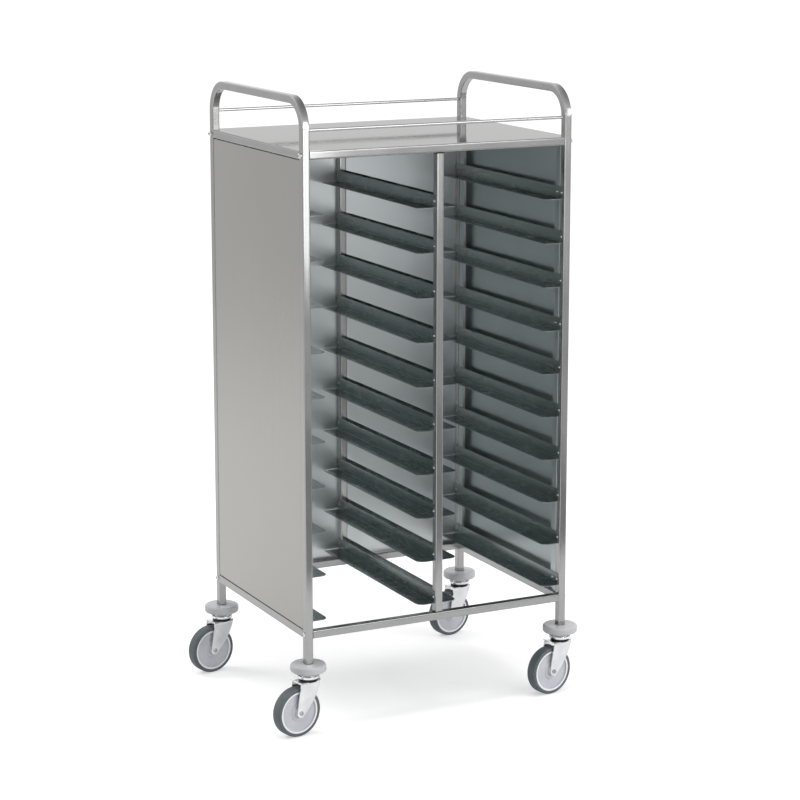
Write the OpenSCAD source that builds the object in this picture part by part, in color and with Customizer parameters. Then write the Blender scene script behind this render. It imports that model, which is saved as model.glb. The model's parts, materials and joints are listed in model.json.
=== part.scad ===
/* [Cart] */
// Width over the corner posts
cart_w = 740; // [700:1:800]
// Depth over the corner posts
cart_d = 578; // [540:1:640]
// Height of the handles' top face above the floor
cart_h = 1580; // [1500:1:1700]
// Height of the handles above the deck
handle_rise = 128; // [115:1:150]
// Height of the bottom rails' top face above the floor
base_h = 264; // [255:1:270]

/* [Frame tube] */
// Outer side of the square tube
tube = 20; // [19:0.5:22]
// Wall of the square tube
tube_wall = 1.5; // [1.2:0.1:1.8]
// Outer radius of the tube's long edges
tube_edge_r = 2.5; // [2:0.1:3]
// Radius of the handle bends to the tube's centre line
bend_r = 70; // [60:1:90]

/* [Sheet work] */
// Sheet of the deck
deck_sheet = 1; // [0.8:0.1:1.5]
// Sheet of the side and rear panels
panel_sheet = 1; // [0.8:0.1:1.2]
// How far the side panels' faces lie inside the posts' faces
panel_inset = 1; // [0.5:0.1:2]
// Width of the side panels' return strips beside the posts
return_w = 24; // [20:1:30]
// Height lost at the strips' sloping ends
return_relief = 8; // [4:1:12]
// Shadow gap above and below the side panels
panel_seam = 1.5; // [1:0.1:2.5]
// Gap between a sheet's edge and the post beside it
sheet_gap = 0.3; // [0.2:0.05:0.5]
// Margin of the rear panel inside the frame's outline
rear_margin = 1.5; // [1:0.5:4]

/* [Tray runners] */
// Height of the lowest tray above the bottom rails
first_rise = 24; // [18:1:30]
// Free height between the highest tray and the top rails
top_room = 135; // [120:1:145]
// Sheet of the runners
runner_sheet = 1.5; // [1:0.1:2]
// Height of the runners' upright web
web_h = 30; // [26:1:34]
// Width of the runners' flange that carries the tray
flange_w = 45; // [38:1:50]
// Corner radius at the flange's open end
flange_corner_r = 20; // [10:1:25]
// Distance from the posts' outer faces to the runners' ends
runner_inset = 6; // [5:0.1:6.5]

/* [Guard rails] */
// Diameter of the two rods above the deck
rod_d = 8; // [6:0.5:10]
// Height of the rods above the deck
rod_rise = 48.5; // [40:0.5:60]

/* [Fasteners] */
// Diameter of the bolts that hold the rails to the end frames
frame_bolt_d = 8; // [6:0.5:8]
// Diameter of the frame bolts' domed heads
frame_head_d = 14; // [12:0.5:16]
// Height of the heads at the bottom rails
low_head_h = 4.4; // [3.5:0.1:5]
// Height of the heads at the top rails
high_head_h = 7.5; // [6:0.1:8]
// Diameter of the bolts that hold the middle posts
post_bolt_d = 6; // [5:0.5:8]
// Diameter of the middle posts' bolt heads
post_head_d = 11; // [10:0.5:13]
// Height of the middle posts' bolt heads
post_head_h = 3.3; // [2.5:0.1:4]
// Free space round a bolt in a tube's wall
bolt_clearance = 0.2; // [0.1:0.05:0.4]
// Length of the threaded inserts in the rails' ends
rail_insert_l = 24; // [20:1:30]
// Thickness of the middle posts' plug flanges
plug_flange = 2.5; // [2:0.1:3]
// Length of the middle posts' plug spigots
plug_spigot_l = 18; // [15:1:24]
// Diameter of the blind rivets
rivet_d = 4; // [3.2:0.1:4.8]
// Diameter of the rivets' domed heads
rivet_head_d = 7; // [6:0.1:8]
// Height of the rivets' domed heads
rivet_head_h = 1.6; // [1.2:0.1:2]

/* [Bumpers] */
// Diameter of the bumper discs
bumper_d = 90; // [80:1:100]
// Thickness of the bumper discs
bumper_h = 20; // [16:1:24]
// Radius of the discs' rounded edges
bumper_edge_r = 6; // [4:0.5:7]
// Depth of the pocket that takes the leg's end
pocket_h = 3; // [2:0.5:4]
// Free space round the leg in its pocket
pocket_gap = 0.3; // [0.2:0.05:0.5]

/* [Castors] */
// Diameter of the wheels over the tyres
wheel_d = 125; // [120:1:130]
// Width of the tyres
tyre_w = 30; // [28:1:32]
// Thickness of the tyres
tyre_h = 9; // [7:0.5:10]
// Radius of the tyres' shoulders
tyre_edge_r = 5; // [3:0.5:6]
// Diameter of the wheel hubs
hub_d = 27; // [24:1:32]
// Diameter of the shallow boss round each hub
boss_d = 42; // [36:1:48]
// Thickness of the wheels over that boss
boss_t = 26; // [24:1:28]
// Thickness of the wheel discs
disc_t = 22; // [18:1:24]
// Radial height of the raised ring at the edge of each wheel disc
rim_ring = 4; // [3:0.5:6]
// Distance from the swivel axis to the wheel axle
trail = 36; // [32:1:40]
// Angle by which every castor is turned at rest
rest_turn = 10; // [0:1:20]
// Sheet of the forks
fork_sheet = 3; // [2.5:0.1:3.5]
// Space between the tyre's side and the fork leg
side_room = 4; // [3:0.5:5]
// Space between the tyre and the fork's crown
head_room = 11; // [9:1:14]
// Outer radius of the bend between crown and leg
crown_bend_r = 6; // [4:0.5:8]
// Radius of the crown about the swivel axis
crown_r = 30; // [28:1:32]
// Length of the crown behind the swivel axis
crown_back = 34; // [32:1:38]
// Length of the raised lip at the back of the crown
lip_l = 12; // [8:1:14]
// Rise of the lip at the back of the crown
lip_rise = 6; // [3:0.5:7]
// Radius of the fork leg's end round the axle
leg_end_r = 11; // [9:0.5:12]
// How far the fork legs' front edge bows forward
leg_bow = 10; // [0:1:12]
// Diameter of the axle bolts
axle_d = 8; // [6:0.5:10]
// Radial clearance of the wheels and forks on their pins
running_gap = 0.05; // [0.02:0.01:0.08]
// Diameter of the swivel pins
swivel_pin_d = 16; // [14:0.5:18]
// Diameter of the swivel balls
ball_d = 7; // [6:0.5:8]
// Radius of the ring of swivel balls
ball_ring_r = 18; // [16:0.5:19]
// Wall of the castor heads' dish round the balls' race
dish_wall = 3; // [2:0.5:4]
// Height of the castor heads above the balls' race
dish_h = 11; // [9:0.5:14]
// Radius of the castor heads' waist
neck_r = 17; // [15:0.5:19]
// Diameter of the castor stems
stem_d = 12; // [10:0.5:12]
// Length of the castor stems inside the leg inserts
stem_grip = 30; // [24:1:34]
// Length of the threaded inserts in the legs
leg_insert_l = 36; // [35:1:45]

/* [Hidden] */

// Levels of trays, and the levels whose wall runners are also riveted to the side panels
level_count = 10;
panel_rivet_levels = [1, 7, 10];
// Rivets up each post at the rear panel
rear_rivet_rows = 5;
// Balls in each swivel, and straight pieces in the fork legs' bowed edge
ball_count = 12;
bow_steps = 8;
round_fn = 64;
small_fn = 32;
overlap = 1;

// Frame: centre lines of the posts, and the faces that other pieces meet
post_x = (cart_w - tube) / 2;
post_y = (cart_d - tube) / 2;
inner_x = cart_w / 2 - tube;
inner_y = cart_d / 2 - tube;
deck_h = cart_h - handle_rise;
rail_top = deck_h - deck_sheet;
top_rail_z = rail_top - tube / 2;
bottom_rail_z = base_h - tube / 2;
bore_side = tube - 2 * tube_wall;
bore_edge_r = tube_edge_r - tube_wall / 2;
bend_start = cart_h - tube / 2 - bend_r;
rod_z = deck_h + rod_rise;

// Castor: heights from the floor up
wheel_r = wheel_d / 2;
rim_r = wheel_r - tyre_h;
axle_r = axle_d / 2;
fork_inner = tyre_w / 2 + side_room;
fork_outer = fork_inner + fork_sheet;
hub_half = fork_inner - 2;
crown_bottom = wheel_d + head_room;
crown_top = crown_bottom + fork_sheet;
ball_r = ball_d / 2;
groove_depth = 0.8;
race_top = crown_top + 4.6;
ball_z = race_top + ball_r - groove_depth;
dish_face = ball_z + ball_r - groove_depth;
head_top = dish_face + dish_h;
pin_head_gap = 0.3;
pin_head_h = 3.2;
pin_r = swivel_pin_d / 2;
race_r = ball_ring_r + ball_r + 2.5;
skirt_in = race_r + 1;
dish_r = skirt_in + dish_wall;

// Bumper and leg
bumper_top = head_top + bumper_h;
leg_foot = bumper_top - pocket_h;

// Runners, with the heights of the levels from the lowest up
runner_l = cart_d - 2 * runner_inset;
rivet_z = web_h / 2;
panel_rivet_y = inner_y - return_w / 2;
first_level = base_h + first_rise;
level_pitch = (rail_top - tube - top_room - first_level) / (level_count - 1);
function level_z(level) = first_level + (level - 1) * level_pitch;

// Rear panel's edges and rivet heights
rear_low = base_h - tube + rear_margin;
rear_high = rail_top - rear_margin;
rear_rivets = [for (i = [0:rear_rivet_rows - 1])
    rear_low + (i + 0.5) * (rear_high - rear_low) / rear_rivet_rows];

// The wheels trail to the left, so the cart is shifted to centre it on the origin
left_reach = post_x + (trail + wheel_r - tyre_edge_r) * cos(rest_turn)
    + (tyre_w / 2 - tyre_edge_r) * sin(rest_turn) + tyre_edge_r;
right_reach = post_x + bumper_d / 2;
centre_shift = (left_reach - right_reach) / 2;

steel = "silver";
dark_steel = "slategray";
plastic = "darkgray";

// ---- Shared shapes -------------------------------------------------

// Rounded square, centred
module rounded_square(side, edge_r) {
    square([side - 2 * edge_r, side], center = true);
    square([side, side - 2 * edge_r], center = true);
    for (sx = [-1, 1], sy = [-1, 1])
        translate([sx * (side / 2 - edge_r), sy * (side / 2 - edge_r)])
            circle(r = edge_r, $fn = small_fn);
}

// Solid bar of the tube's outer or inner section along Z, from the origin up
module outer_bar(length) {
    linear_extrude(length) rounded_square(tube, tube_edge_r);
}

module inner_bar(length) {
    linear_extrude(length) rounded_square(bore_side, bore_edge_r);
}

// Open-ended square tube along Z, from the origin up
module square_tube(length) {
    difference() {
        outer_bar(length);
        translate([0, 0, -overlap]) inner_bar(length + 2 * overlap);
    }
}

// Turn a shape that stands along Z to lie along X or Y
module along_x() {
    rotate([90, 0, 90]) children();
}

module along_y() {
    rotate([-90, 0, 0]) children();
}

// Cylinder along X through the origin
module cross_hole(radius, length) {
    rotate([0, 90, 0]) cylinder(r = radius, h = length, center = true, $fn = small_fn);
}

// Domed head that stands on the origin along Z
module dome(diameter, height) {
    crown = (pow(diameter / 2, 2) + height * height) / (2 * height);
    rotate_extrude($fn = round_fn)
        intersection() {
            translate([0, height - crown]) circle(r = crown, $fn = 2 * round_fn);
            square([diameter / 2, height]);
        }
}

// Bolt whose head stands on the origin and whose shank runs down, with a hexagon socket
module button_bolt(shank_d, shank_l, head_d, head_h) {
    difference() {
        union() {
            dome(head_d, head_h);
            translate([0, 0, -shank_l]) cylinder(d = shank_d, h = shank_l + head_h / 2, $fn = small_fn);
        }
        translate([0, 0, head_h / 2]) cylinder(r = shank_d / 3, h = head_h, $fn = 6);
    }
}

// Blind rivet with its head on the origin, its shank through the sheets and its tail behind them
module rivet(grip) {
    dome(rivet_head_d, rivet_head_h);
    translate([0, 0, -grip]) cylinder(d = rivet_d, h = grip + rivet_head_h / 2, $fn = small_fn);
    translate([0, 0, -grip - rivet_d / 2]) cylinder(d = rivet_d * 1.4, h = rivet_d / 2, $fn = small_fn);
}

// ---- Frame ---------------------------------------------------------

// The handle's path, filled with the tube's outer or inner section
module hoop_path(side, edge_r, foot) {
    for (s = [-1, 1])
        translate([0, s * post_y, foot])
            linear_extrude(bend_start - foot) rounded_square(side, edge_r);
    for (s = [0, 1])
        mirror([0, s, 0])
            translate([0, post_y - bend_r, bend_start])
                along_x() rotate_extrude(angle = 90, $fn = round_fn)
                    translate([bend_r, 0]) rounded_square(side, edge_r);
    translate([0, bend_r - post_y, cart_h - tube / 2])
        along_y() linear_extrude(2 * (post_y - bend_r)) rounded_square(side, edge_r);
}

// End frame at the left (-1) or right (1): one tube, bent twice, with its bolt and rivet holes
module end_frame(side) {
    color(steel)
        translate([side * post_x, 0, 0])
            difference() {
                hoop_path(tube, tube_edge_r, leg_foot);
                hoop_path(bore_side, bore_edge_r, leg_foot - overlap);
                for (s = [-1, 1], z = [bottom_rail_z, top_rail_z])
                    translate([0, s * post_y, z])
                        cross_hole(frame_bolt_d / 2 + bolt_clearance, tube + 2 * overlap);
                for (s = [-1, 1], level = [1:level_count])
                    translate([-side * tube / 2, s * post_y, level_z(level) + rivet_z])
                        cross_hole(rivet_d / 2, 2 * tube_wall + overlap);
                for (z = rear_rivets)
                    translate([0, post_y + tube / 2, z])
                        rotate([0, 0, 90]) cross_hole(rivet_d / 2, 2 * tube_wall + overlap);
            }
}

// Rail along X between the end frames
module cross_rail(y, z) {
    translate([-inner_x, y, z]) along_x() square_tube(2 * inner_x);
}

// Top rail, open above its middle so that the middle post's bolt can be reached
module top_rail(side) {
    color(steel)
        difference() {
            cross_rail(side * post_y, top_rail_z);
            translate([0, side * post_y, top_rail_z])
                cylinder(d = post_head_d + 2, h = tube, $fn = small_fn);
            translate([0, side * post_y, rail_top - tube - overlap])
                cylinder(r = post_bolt_d / 2 + bolt_clearance, h = tube / 2, $fn = small_fn);
        }
}

module bottom_rail(side) {
    color(steel)
        difference() {
            cross_rail(side * post_y, bottom_rail_z);
            translate([0, side * post_y, base_h - tube - overlap])
                cylinder(r = post_bolt_d / 2 + bolt_clearance, h = tube + 2 * overlap, $fn = small_fn);
        }
}

// Side rail along Y between the legs of one end frame
module side_rail(side, z) {
    color(steel)
        translate([side * post_x, -inner_y, z]) along_y() square_tube(2 * inner_y);
}

// Middle post between the plugs on the bottom and top rails
module middle_post(side) {
    post_low = base_h + plug_flange;
    post_high = rail_top - tube - plug_flange;
    color(steel)
        difference() {
            translate([0, side * post_y, post_low]) square_tube(post_high - post_low);
            for (level = [1:level_count])
                translate([0, side * post_y, level_z(level) + rivet_z])
                    cross_hole(rivet_d / 2, tube + 2 * overlap);
            if (side > 0)
                for (z = rear_rivets)
                    translate([0, post_y + tube / 2, z])
                        rotate([0, 0, 90]) cross_hole(rivet_d / 2, 2 * tube_wall + overlap);
        }
}

// Plug in a middle post's end: a flange on the rail and a spigot up the tube
module middle_post_plug() {
    difference() {
        union() {
            outer_bar(plug_flange);
            inner_bar(plug_flange + plug_spigot_l);
        }
        translate([0, 0, -overlap])
            cylinder(d = post_bolt_d, h = plug_flange + plug_spigot_l + 2 * overlap, $fn = small_fn);
    }
}

module middle_post_plugs() {
    color(dark_steel)
        for (s = [-1, 1]) {
            translate([0, s * post_y, base_h]) middle_post_plug();
            translate([0, s * post_y, rail_top - tube]) mirror([0, 0, 1]) middle_post_plug();
        }
}

// Bolts up through the bottom rails and down through the top rails into those plugs
module middle_post_bolts() {
    grip = plug_flange + plug_spigot_l - 2;
    color(steel)
        for (s = [-1, 1]) {
            translate([0, s * post_y, base_h - tube])
                mirror([0, 0, 1]) button_bolt(post_bolt_d, tube + grip, post_head_d, post_head_h);
            translate([0, s * post_y, rail_top - tube + tube_wall])
                button_bolt(post_bolt_d, tube_wall + grip, post_head_d, post_head_h);
        }
}

// Threaded inserts in the ends of the four cross rails
module rail_end_inserts() {
    color(dark_steel)
        for (side = [-1, 1], s = [-1, 1], z = [bottom_rail_z, top_rail_z])
            translate([side * inner_x, s * post_y, z])
                rotate([0, 0, side > 0 ? 180 : 0])
                    along_x() difference() {
                        inner_bar(rail_insert_l);
                        translate([0, 0, -overlap])
                            cylinder(d = frame_bolt_d, h = rail_insert_l + 2 * overlap, $fn = small_fn);
                    }
}

// Bolts through the posts into the inserts, with their heads on the cart's outer sides
module frame_bolts() {
    color(steel)
        for (side = [-1, 1], s = [-1, 1], row = [[bottom_rail_z, low_head_h], [top_rail_z, high_head_h]])
            translate([side * cart_w / 2, s * post_y, row[0]])
                rotate([0, side * 90, 0])
                    button_bolt(frame_bolt_d, tube + rail_insert_l - 2, frame_head_d, row[1]);
}

// ---- Deck, guard rails and panels ----------------------------------

// Deck sheet on the top rails, notched round the four posts
module deck() {
    notch = tube + sheet_gap;
    color("gainsboro")
        translate([0, 0, rail_top])
            linear_extrude(deck_sheet)
                difference() {
                    square([cart_w, cart_d], center = true);
                    for (sx = [-1, 1], sy = [-1, 1])
                        translate([sx * cart_w / 2, sy * cart_d / 2]) square(2 * notch, center = true);
                }
}

// Round rod between the handles
module guard_rail(side) {
    color(steel)
        translate([0, side * post_y, rod_z])
            cross_hole(rod_d / 2, 2 * inner_x);
}

// Side panel: a folded sheet between the posts, with a return strip beside each post
module side_panel(side) {
    low = base_h + panel_seam;
    high = rail_top - tube - panel_seam;
    half = inner_y - sheet_gap;
    depth = tube - panel_inset;
    fold = half - panel_sheet;
    strip = half - return_w;
    color("darkgray")
        mirror([side > 0 ? 1 : 0, 0, 0])
            translate([-cart_w / 2 + panel_inset, 0, 0])
                difference() {
                    translate([0, -half, low]) cube([depth, 2 * half, high - low]);
                    translate([panel_sheet, -fold, low + panel_sheet])
                        cube([depth - 2 * panel_sheet, 2 * fold, high - low - 2 * panel_sheet]);
                    translate([depth - panel_sheet - overlap, 0, 0])
                        along_x() linear_extrude(panel_sheet + 2 * overlap)
                            return_window(fold, strip, low + panel_sheet, high - panel_sheet);
                    for (s = [-1, 1], level = panel_rivet_levels)
                        translate([depth, s * panel_rivet_y, level_z(level) + rivet_z])
                            cross_hole(rivet_d / 2, 4 * panel_sheet);
                }
}

// Opening inside the return strips, wider where the strips' ends slope away
module return_window(fold, strip, low, high) {
    polygon([
        [-fold, low], [fold, low], [strip, low + return_relief], [strip, high - return_relief],
        [fold, high], [-fold, high], [-strip, high - return_relief], [-strip, low + return_relief]
    ]);
}

// Rear panel: one flat sheet on the backs of the three rear posts
module rear_panel() {
    half = cart_w / 2 - rear_margin;
    color("darkgray")
        difference() {
            translate([-half, cart_d / 2, rear_low]) cube([2 * half, panel_sheet, rear_high - rear_low]);
            for (x = [-post_x, 0, post_x], z = rear_rivets)
                translate([x, cart_d / 2, z]) rotate([0, 0, 90]) cross_hole(rivet_d / 2, 4 * panel_sheet);
        }
}

// ---- Tray runners --------------------------------------------------

// Flange seen from above: the web's edge on Y, the open end towards -Y
module flange_plan() {
    difference() {
        translate([0, -runner_l / 2]) square([flange_w, runner_l]);
        translate([flange_w - flange_corner_r, flange_corner_r - runner_l / 2])
            difference() {
                translate([0, -flange_corner_r - overlap])
                    square([flange_corner_r + overlap, flange_corner_r + overlap]);
                circle(r = flange_corner_r, $fn = round_fn);
            }
    }
}

// L-shaped runner with the back of its web on the YZ plane and its tray face on Z = 0
module runner(riveted_to_panel) {
    difference() {
        union() {
            translate([0, 0, -runner_sheet]) linear_extrude(runner_sheet) flange_plan();
            translate([0, -runner_l / 2, -runner_sheet])
                cube([runner_sheet, runner_l, web_h + runner_sheet]);
        }
        for (y = runner_rivet_ys(riveted_to_panel))
            translate([0, y, rivet_z]) cross_hole(rivet_d / 2, 4 * runner_sheet);
    }
}

function runner_rivet_ys(riveted_to_panel) = riveted_to_panel
    ? [-post_y, -panel_rivet_y, panel_rivet_y, post_y] : [-post_y, post_y];

function on_panel(level) = len(search(level, panel_rivet_levels)) > 0;

// The four runners of one level: two on the side walls and two on the middle posts
module tray_runners(level) {
    color("dimgray")
        for (side = [0, 1])
            mirror([side, 0, 0])
                translate([0, 0, level_z(level)]) {
                    translate([-inner_x, 0, 0]) runner(on_panel(level));
                    translate([-tube / 2, 0, 0]) mirror([1, 0, 0]) runner(false);
                }
}

// Rivets of all the runners and of the rear panel
module blind_rivets() {
    color(steel) {
        for (side = [0, 1], level = [1:level_count], s = [-1, 1])
            mirror([side, 0, 0])
                translate([0, s * post_y, level_z(level) + rivet_z]) {
                    translate([runner_sheet - inner_x, 0, 0])
                        rotate([0, 90, 0]) rivet(runner_sheet + tube_wall);
                    translate([-tube / 2 - runner_sheet, 0, 0])
                        rotate([0, -90, 0]) rivet(runner_sheet + tube_wall);
                }
        for (side = [0, 1], level = panel_rivet_levels, s = [-1, 1])
            mirror([side, 0, 0])
                translate([runner_sheet - inner_x, s * panel_rivet_y, level_z(level) + rivet_z])
                    rotate([0, 90, 0]) rivet(runner_sheet + panel_sheet);
        for (x = [-post_x, 0, post_x], z = rear_rivets)
            translate([x, cart_d / 2 + panel_sheet, z])
                rotate([-90, 0, 0]) rivet(panel_sheet + tube_wall);
    }
}

// ---- Bumpers and leg inserts ---------------------------------------

// Disc between leg and castor, with a square pocket for the leg's end
module bumper_disc() {
    radius = bumper_d / 2;
    color(plastic)
        difference() {
            rotate_extrude($fn = 2 * round_fn)
                translate([0, head_top]) {
                    square([radius - bumper_edge_r, bumper_h]);
                    translate([0, bumper_edge_r]) square([radius, bumper_h - 2 * bumper_edge_r]);
                    for (z = [bumper_edge_r, bumper_h - bumper_edge_r])
                        translate([radius - bumper_edge_r, z]) circle(r = bumper_edge_r, $fn = small_fn);
                }
            translate([0, 0, leg_foot])
                linear_extrude(pocket_h + overlap)
                    rounded_square(tube + 2 * pocket_gap, tube_edge_r + pocket_gap);
            translate([0, 0, head_top - overlap])
                cylinder(r = stem_d / 2 + bolt_clearance, h = bumper_h, $fn = round_fn);
        }
}

module leg_inserts() {
    color(dark_steel)
        for (sx = [-1, 1], sy = [-1, 1])
            translate([sx * post_x, sy * post_y, leg_foot])
                difference() {
                    inner_bar(leg_insert_l);
                    translate([0, 0, -overlap])
                        cylinder(d = stem_d, h = leg_insert_l + 2 * overlap, $fn = round_fn);
                }
}

// ---- Castors -------------------------------------------------------

// Ring-shaped groove that the swivel balls run in
module ball_groove() {
    rotate_extrude($fn = round_fn)
        translate([ball_ring_r, ball_z]) circle(r = ball_r + running_gap, $fn = small_fn);
}

// Fixed castor head: stem, dish over the balls, swivel pin and the pin's riveted end
module castor_head() {
    skirt_low = race_top + 1;
    color(steel)
        difference() {
            union() {
                translate([0, 0, head_top - overlap])
                    cylinder(d = stem_d, h = leg_foot - head_top + overlap + stem_grip, $fn = round_fn);
                rotate_extrude($fn = round_fn)
                    polygon([
                        [0, dish_face], [skirt_in, dish_face], [skirt_in, skirt_low],
                        [dish_r, skirt_low], [dish_r, dish_face + 2],
                        [neck_r, dish_face + 4], [neck_r, head_top - 2],
                        [neck_r + 3, head_top - 0.5], [neck_r + 3, head_top], [0, head_top]
                    ]);
                translate([0, 0, crown_bottom - pin_head_gap])
                    cylinder(r = pin_r, h = dish_face - crown_bottom + 2 * overlap, $fn = round_fn);
                translate([0, 0, crown_bottom - pin_head_gap - pin_head_h])
                    cylinder(r = pin_r + 4, h = pin_head_h, $fn = round_fn);
            }
            ball_groove();
        }
}

// The fork's outline seen from its side, with X along the trail and Z written as Y:
// the legs' front edge bows forward from the axle's round end up to the crown
module fork_side_outline() {
    tangent = leg_end_r * sqrt(0.5);
    low = [tangent - trail, wheel_r - tangent];
    high = [sqrt(crown_r * crown_r - fork_outer * fork_outer), crown_bottom - leg_end_r / 2];
    middle = (low + high) / 2 + [leg_bow, -leg_bow / 2];
    translate([-trail, wheel_r]) circle(r = leg_end_r, $fn = round_fn);
    polygon(concat(
        [[-trail - leg_end_r, wheel_r]],
        [for (i = [0:bow_steps]) bow_point(low, middle, high, i / bow_steps)],
        [[crown_r + overlap, high[1]], [crown_r + overlap, crown_top + overlap]],
        [[-crown_back, crown_top + overlap]]
    ));
}

// Point at share t of a curve that leaves from one end towards the middle and comes in to the other
function bow_point(from, middle, to, t) =
    pow(1 - t, 2) * from + 2 * t * (1 - t) * middle + t * t * to;

// Bent sheet of the fork seen along the trail: a crown with a leg down each side
module fork_channel() {
    module bent(half, top, bend) {
        translate([-half, 0]) square([2 * half, top - bend]);
        translate([bend - half, 0]) square([2 * (half - bend), top]);
        for (s = [-1, 1])
            translate([s * (half - bend), top - bend]) circle(r = bend, $fn = small_fn);
    }
    difference() {
        bent(fork_outer, crown_top, crown_bend_r);
        translate([0, -overlap]) bent(fork_inner, crown_bottom + overlap, crown_bend_r - fork_sheet);
    }
}

// Swivelling fork about the origin, trailing to -X
module castor_fork() {
    color("whitesmoke")
        difference() {
            union() {
                intersection() {
                    translate([-crown_back, 0, 0])
                        along_x() linear_extrude(crown_back + crown_r) fork_channel();
                    rotate([90, 0, 0])
                        linear_extrude(2 * fork_outer + 2, center = true) fork_side_outline();
                    linear_extrude(crown_top + overlap) {
                        circle(r = crown_r, $fn = 2 * round_fn);
                        translate([-crown_back - trail, -fork_outer])
                            square([crown_back + trail, 2 * fork_outer]);
                    }
                }
                translate([0, 0, crown_bottom])
                    cylinder(r = race_r, h = race_top - crown_bottom, $fn = round_fn);
                rotate([90, 0, 0])
                    linear_extrude(2 * (fork_outer - crown_bend_r), center = true)
                        polygon([
                            [-crown_back, crown_bottom], [-crown_back - lip_l, crown_bottom + lip_rise],
                            [-crown_back - lip_l, crown_top + lip_rise], [-crown_back, crown_top]
                        ]);
            }
            translate([0, 0, crown_bottom - overlap])
                cylinder(r = pin_r + running_gap, h = race_top - crown_bottom + 2 * overlap, $fn = round_fn);
            ball_groove();
            translate([-trail, 0, wheel_r])
                rotate([90, 0, 0]) cylinder(d = axle_d, h = 3 * fork_outer, center = true, $fn = round_fn);
        }
}

// Turn a shape that is round about Z to lie round the wheel's axle
module on_axle() {
    translate([-trail, 0, wheel_r]) rotate([90, 0, 0]) children();
}

// Wheel: hub, disc and the ring that carries the tyre
module wheel_body() {
    color("lightgray")
        on_axle() rotate_extrude($fn = 2 * round_fn)
            difference() {
                union() {
                    translate([0, -hub_half]) square([hub_d / 2, 2 * hub_half]);
                    translate([0, -boss_t / 2]) square([boss_d / 2, boss_t]);
                    translate([0, -disc_t / 2]) square([rim_r, disc_t]);
                    translate([rim_r - rim_ring, -tyre_w / 2 + 1]) square([rim_ring, tyre_w - 2]);
                }
                translate([0, -tyre_w]) square([axle_r + running_gap, 2 * tyre_w]);
            }
}

// Tyre: a rubber band with rounded shoulders
module tyre_body() {
    color("dimgray")
        on_axle() rotate_extrude($fn = 2 * round_fn)
            intersection() {
                translate([rim_r, -tyre_w / 2]) square([tyre_h, tyre_w]);
                union() {
                    translate([rim_r, -tyre_w / 2]) square([tyre_h - tyre_edge_r, tyre_w]);
                    translate([rim_r, tyre_edge_r - tyre_w / 2]) square([tyre_h, tyre_w - 2 * tyre_edge_r]);
                    for (s = [-1, 1])
                        translate([wheel_r - tyre_edge_r, s * (tyre_w / 2 - tyre_edge_r)])
                            circle(r = tyre_edge_r, $fn = small_fn);
                }
            }
}

// Axle bolt through the fork's legs, with its head in front and its nut behind
module axle_bolt() {
    nut_r = axle_d * 0.92;
    nut_h = axle_d * 0.75;
    color(steel)
        on_axle() {
            translate([0, 0, fork_outer]) dome(axle_d * 1.5, 2.8);
            translate([0, 0, -fork_outer - nut_h - 1.5])
                cylinder(d = axle_d, h = 2 * fork_outer + nut_h + 2, $fn = round_fn);
            translate([0, 0, -fork_outer - nut_h])
                difference() {
                    cylinder(r = nut_r, h = nut_h, $fn = 6);
                    translate([0, 0, -overlap]) cylinder(d = axle_d, h = nut_h + 2 * overlap, $fn = round_fn);
                }
        }
}

// Place a castor piece at a leg: front or rear (-1 or 1), left or right (-1 or 1)
module at_leg(fore, side) {
    translate([side * post_x, fore * post_y, 0]) children();
}

module at_castor(fore, side) {
    at_leg(fore, side) rotate([0, 0, rest_turn]) children();
}

module swivel_balls() {
    color("lightgray")
        for (fore = [-1, 1], side = [-1, 1], i = [0:ball_count - 1])
            at_leg(fore, side)
                rotate([0, 0, i * 360 / ball_count])
                    translate([ball_ring_r, 0, ball_z]) sphere(r = ball_r, $fn = small_fn);
}

// The whole cart stands centred on the origin
module centred() {
    translate([centre_shift, 0, 0]) children();
}

centred() end_frame(-1);  // left_end_frame
centred() end_frame(1);  // right_end_frame
centred() top_rail(-1);  // front_top_rail
centred() top_rail(1);  // rear_top_rail
centred() bottom_rail(-1);  // front_bottom_rail
centred() bottom_rail(1);  // rear_bottom_rail
centred() side_rail(-1, top_rail_z);  // left_top_rail
centred() side_rail(1, top_rail_z);  // right_top_rail
centred() side_rail(-1, bottom_rail_z);  // left_bottom_rail
centred() side_rail(1, bottom_rail_z);  // right_bottom_rail
centred() middle_post(-1);  // front_middle_post
centred() middle_post(1);  // rear_middle_post
centred() deck();
centred() side_panel(-1);  // left_panel
centred() side_panel(1);  // right_panel
centred() rear_panel();
centred() guard_rail(-1);  // front_guard_rail
centred() guard_rail(1);  // rear_guard_rail
centred() frame_bolts();
centred() middle_post_bolts();
centred() rail_end_inserts();
centred() middle_post_plugs();
centred() leg_inserts();
centred() blind_rivets();
centred() tray_runners(1);  // tray_runners_1
centred() tray_runners(2);  // tray_runners_2
centred() tray_runners(3);  // tray_runners_3
centred() tray_runners(4);  // tray_runners_4
centred() tray_runners(5);  // tray_runners_5
centred() tray_runners(6);  // tray_runners_6
centred() tray_runners(7);  // tray_runners_7
centred() tray_runners(8);  // tray_runners_8
centred() tray_runners(9);  // tray_runners_9
centred() tray_runners(10);  // tray_runners_10
centred() at_leg(-1, -1) bumper_disc();  // front_left_bumper
centred() at_leg(-1, 1) bumper_disc();  // front_right_bumper
centred() at_leg(1, -1) bumper_disc();  // rear_left_bumper
centred() at_leg(1, 1) bumper_disc();  // rear_right_bumper
centred() at_leg(-1, -1) castor_head();  // front_left_castor_head
centred() at_leg(-1, 1) castor_head();  // front_right_castor_head
centred() at_leg(1, -1) castor_head();  // rear_left_castor_head
centred() at_leg(1, 1) castor_head();  // rear_right_castor_head
centred() at_castor(-1, -1) castor_fork();  // front_left_fork
centred() at_castor(-1, 1) castor_fork();  // front_right_fork
centred() at_castor(1, -1) castor_fork();  // rear_left_fork
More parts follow.
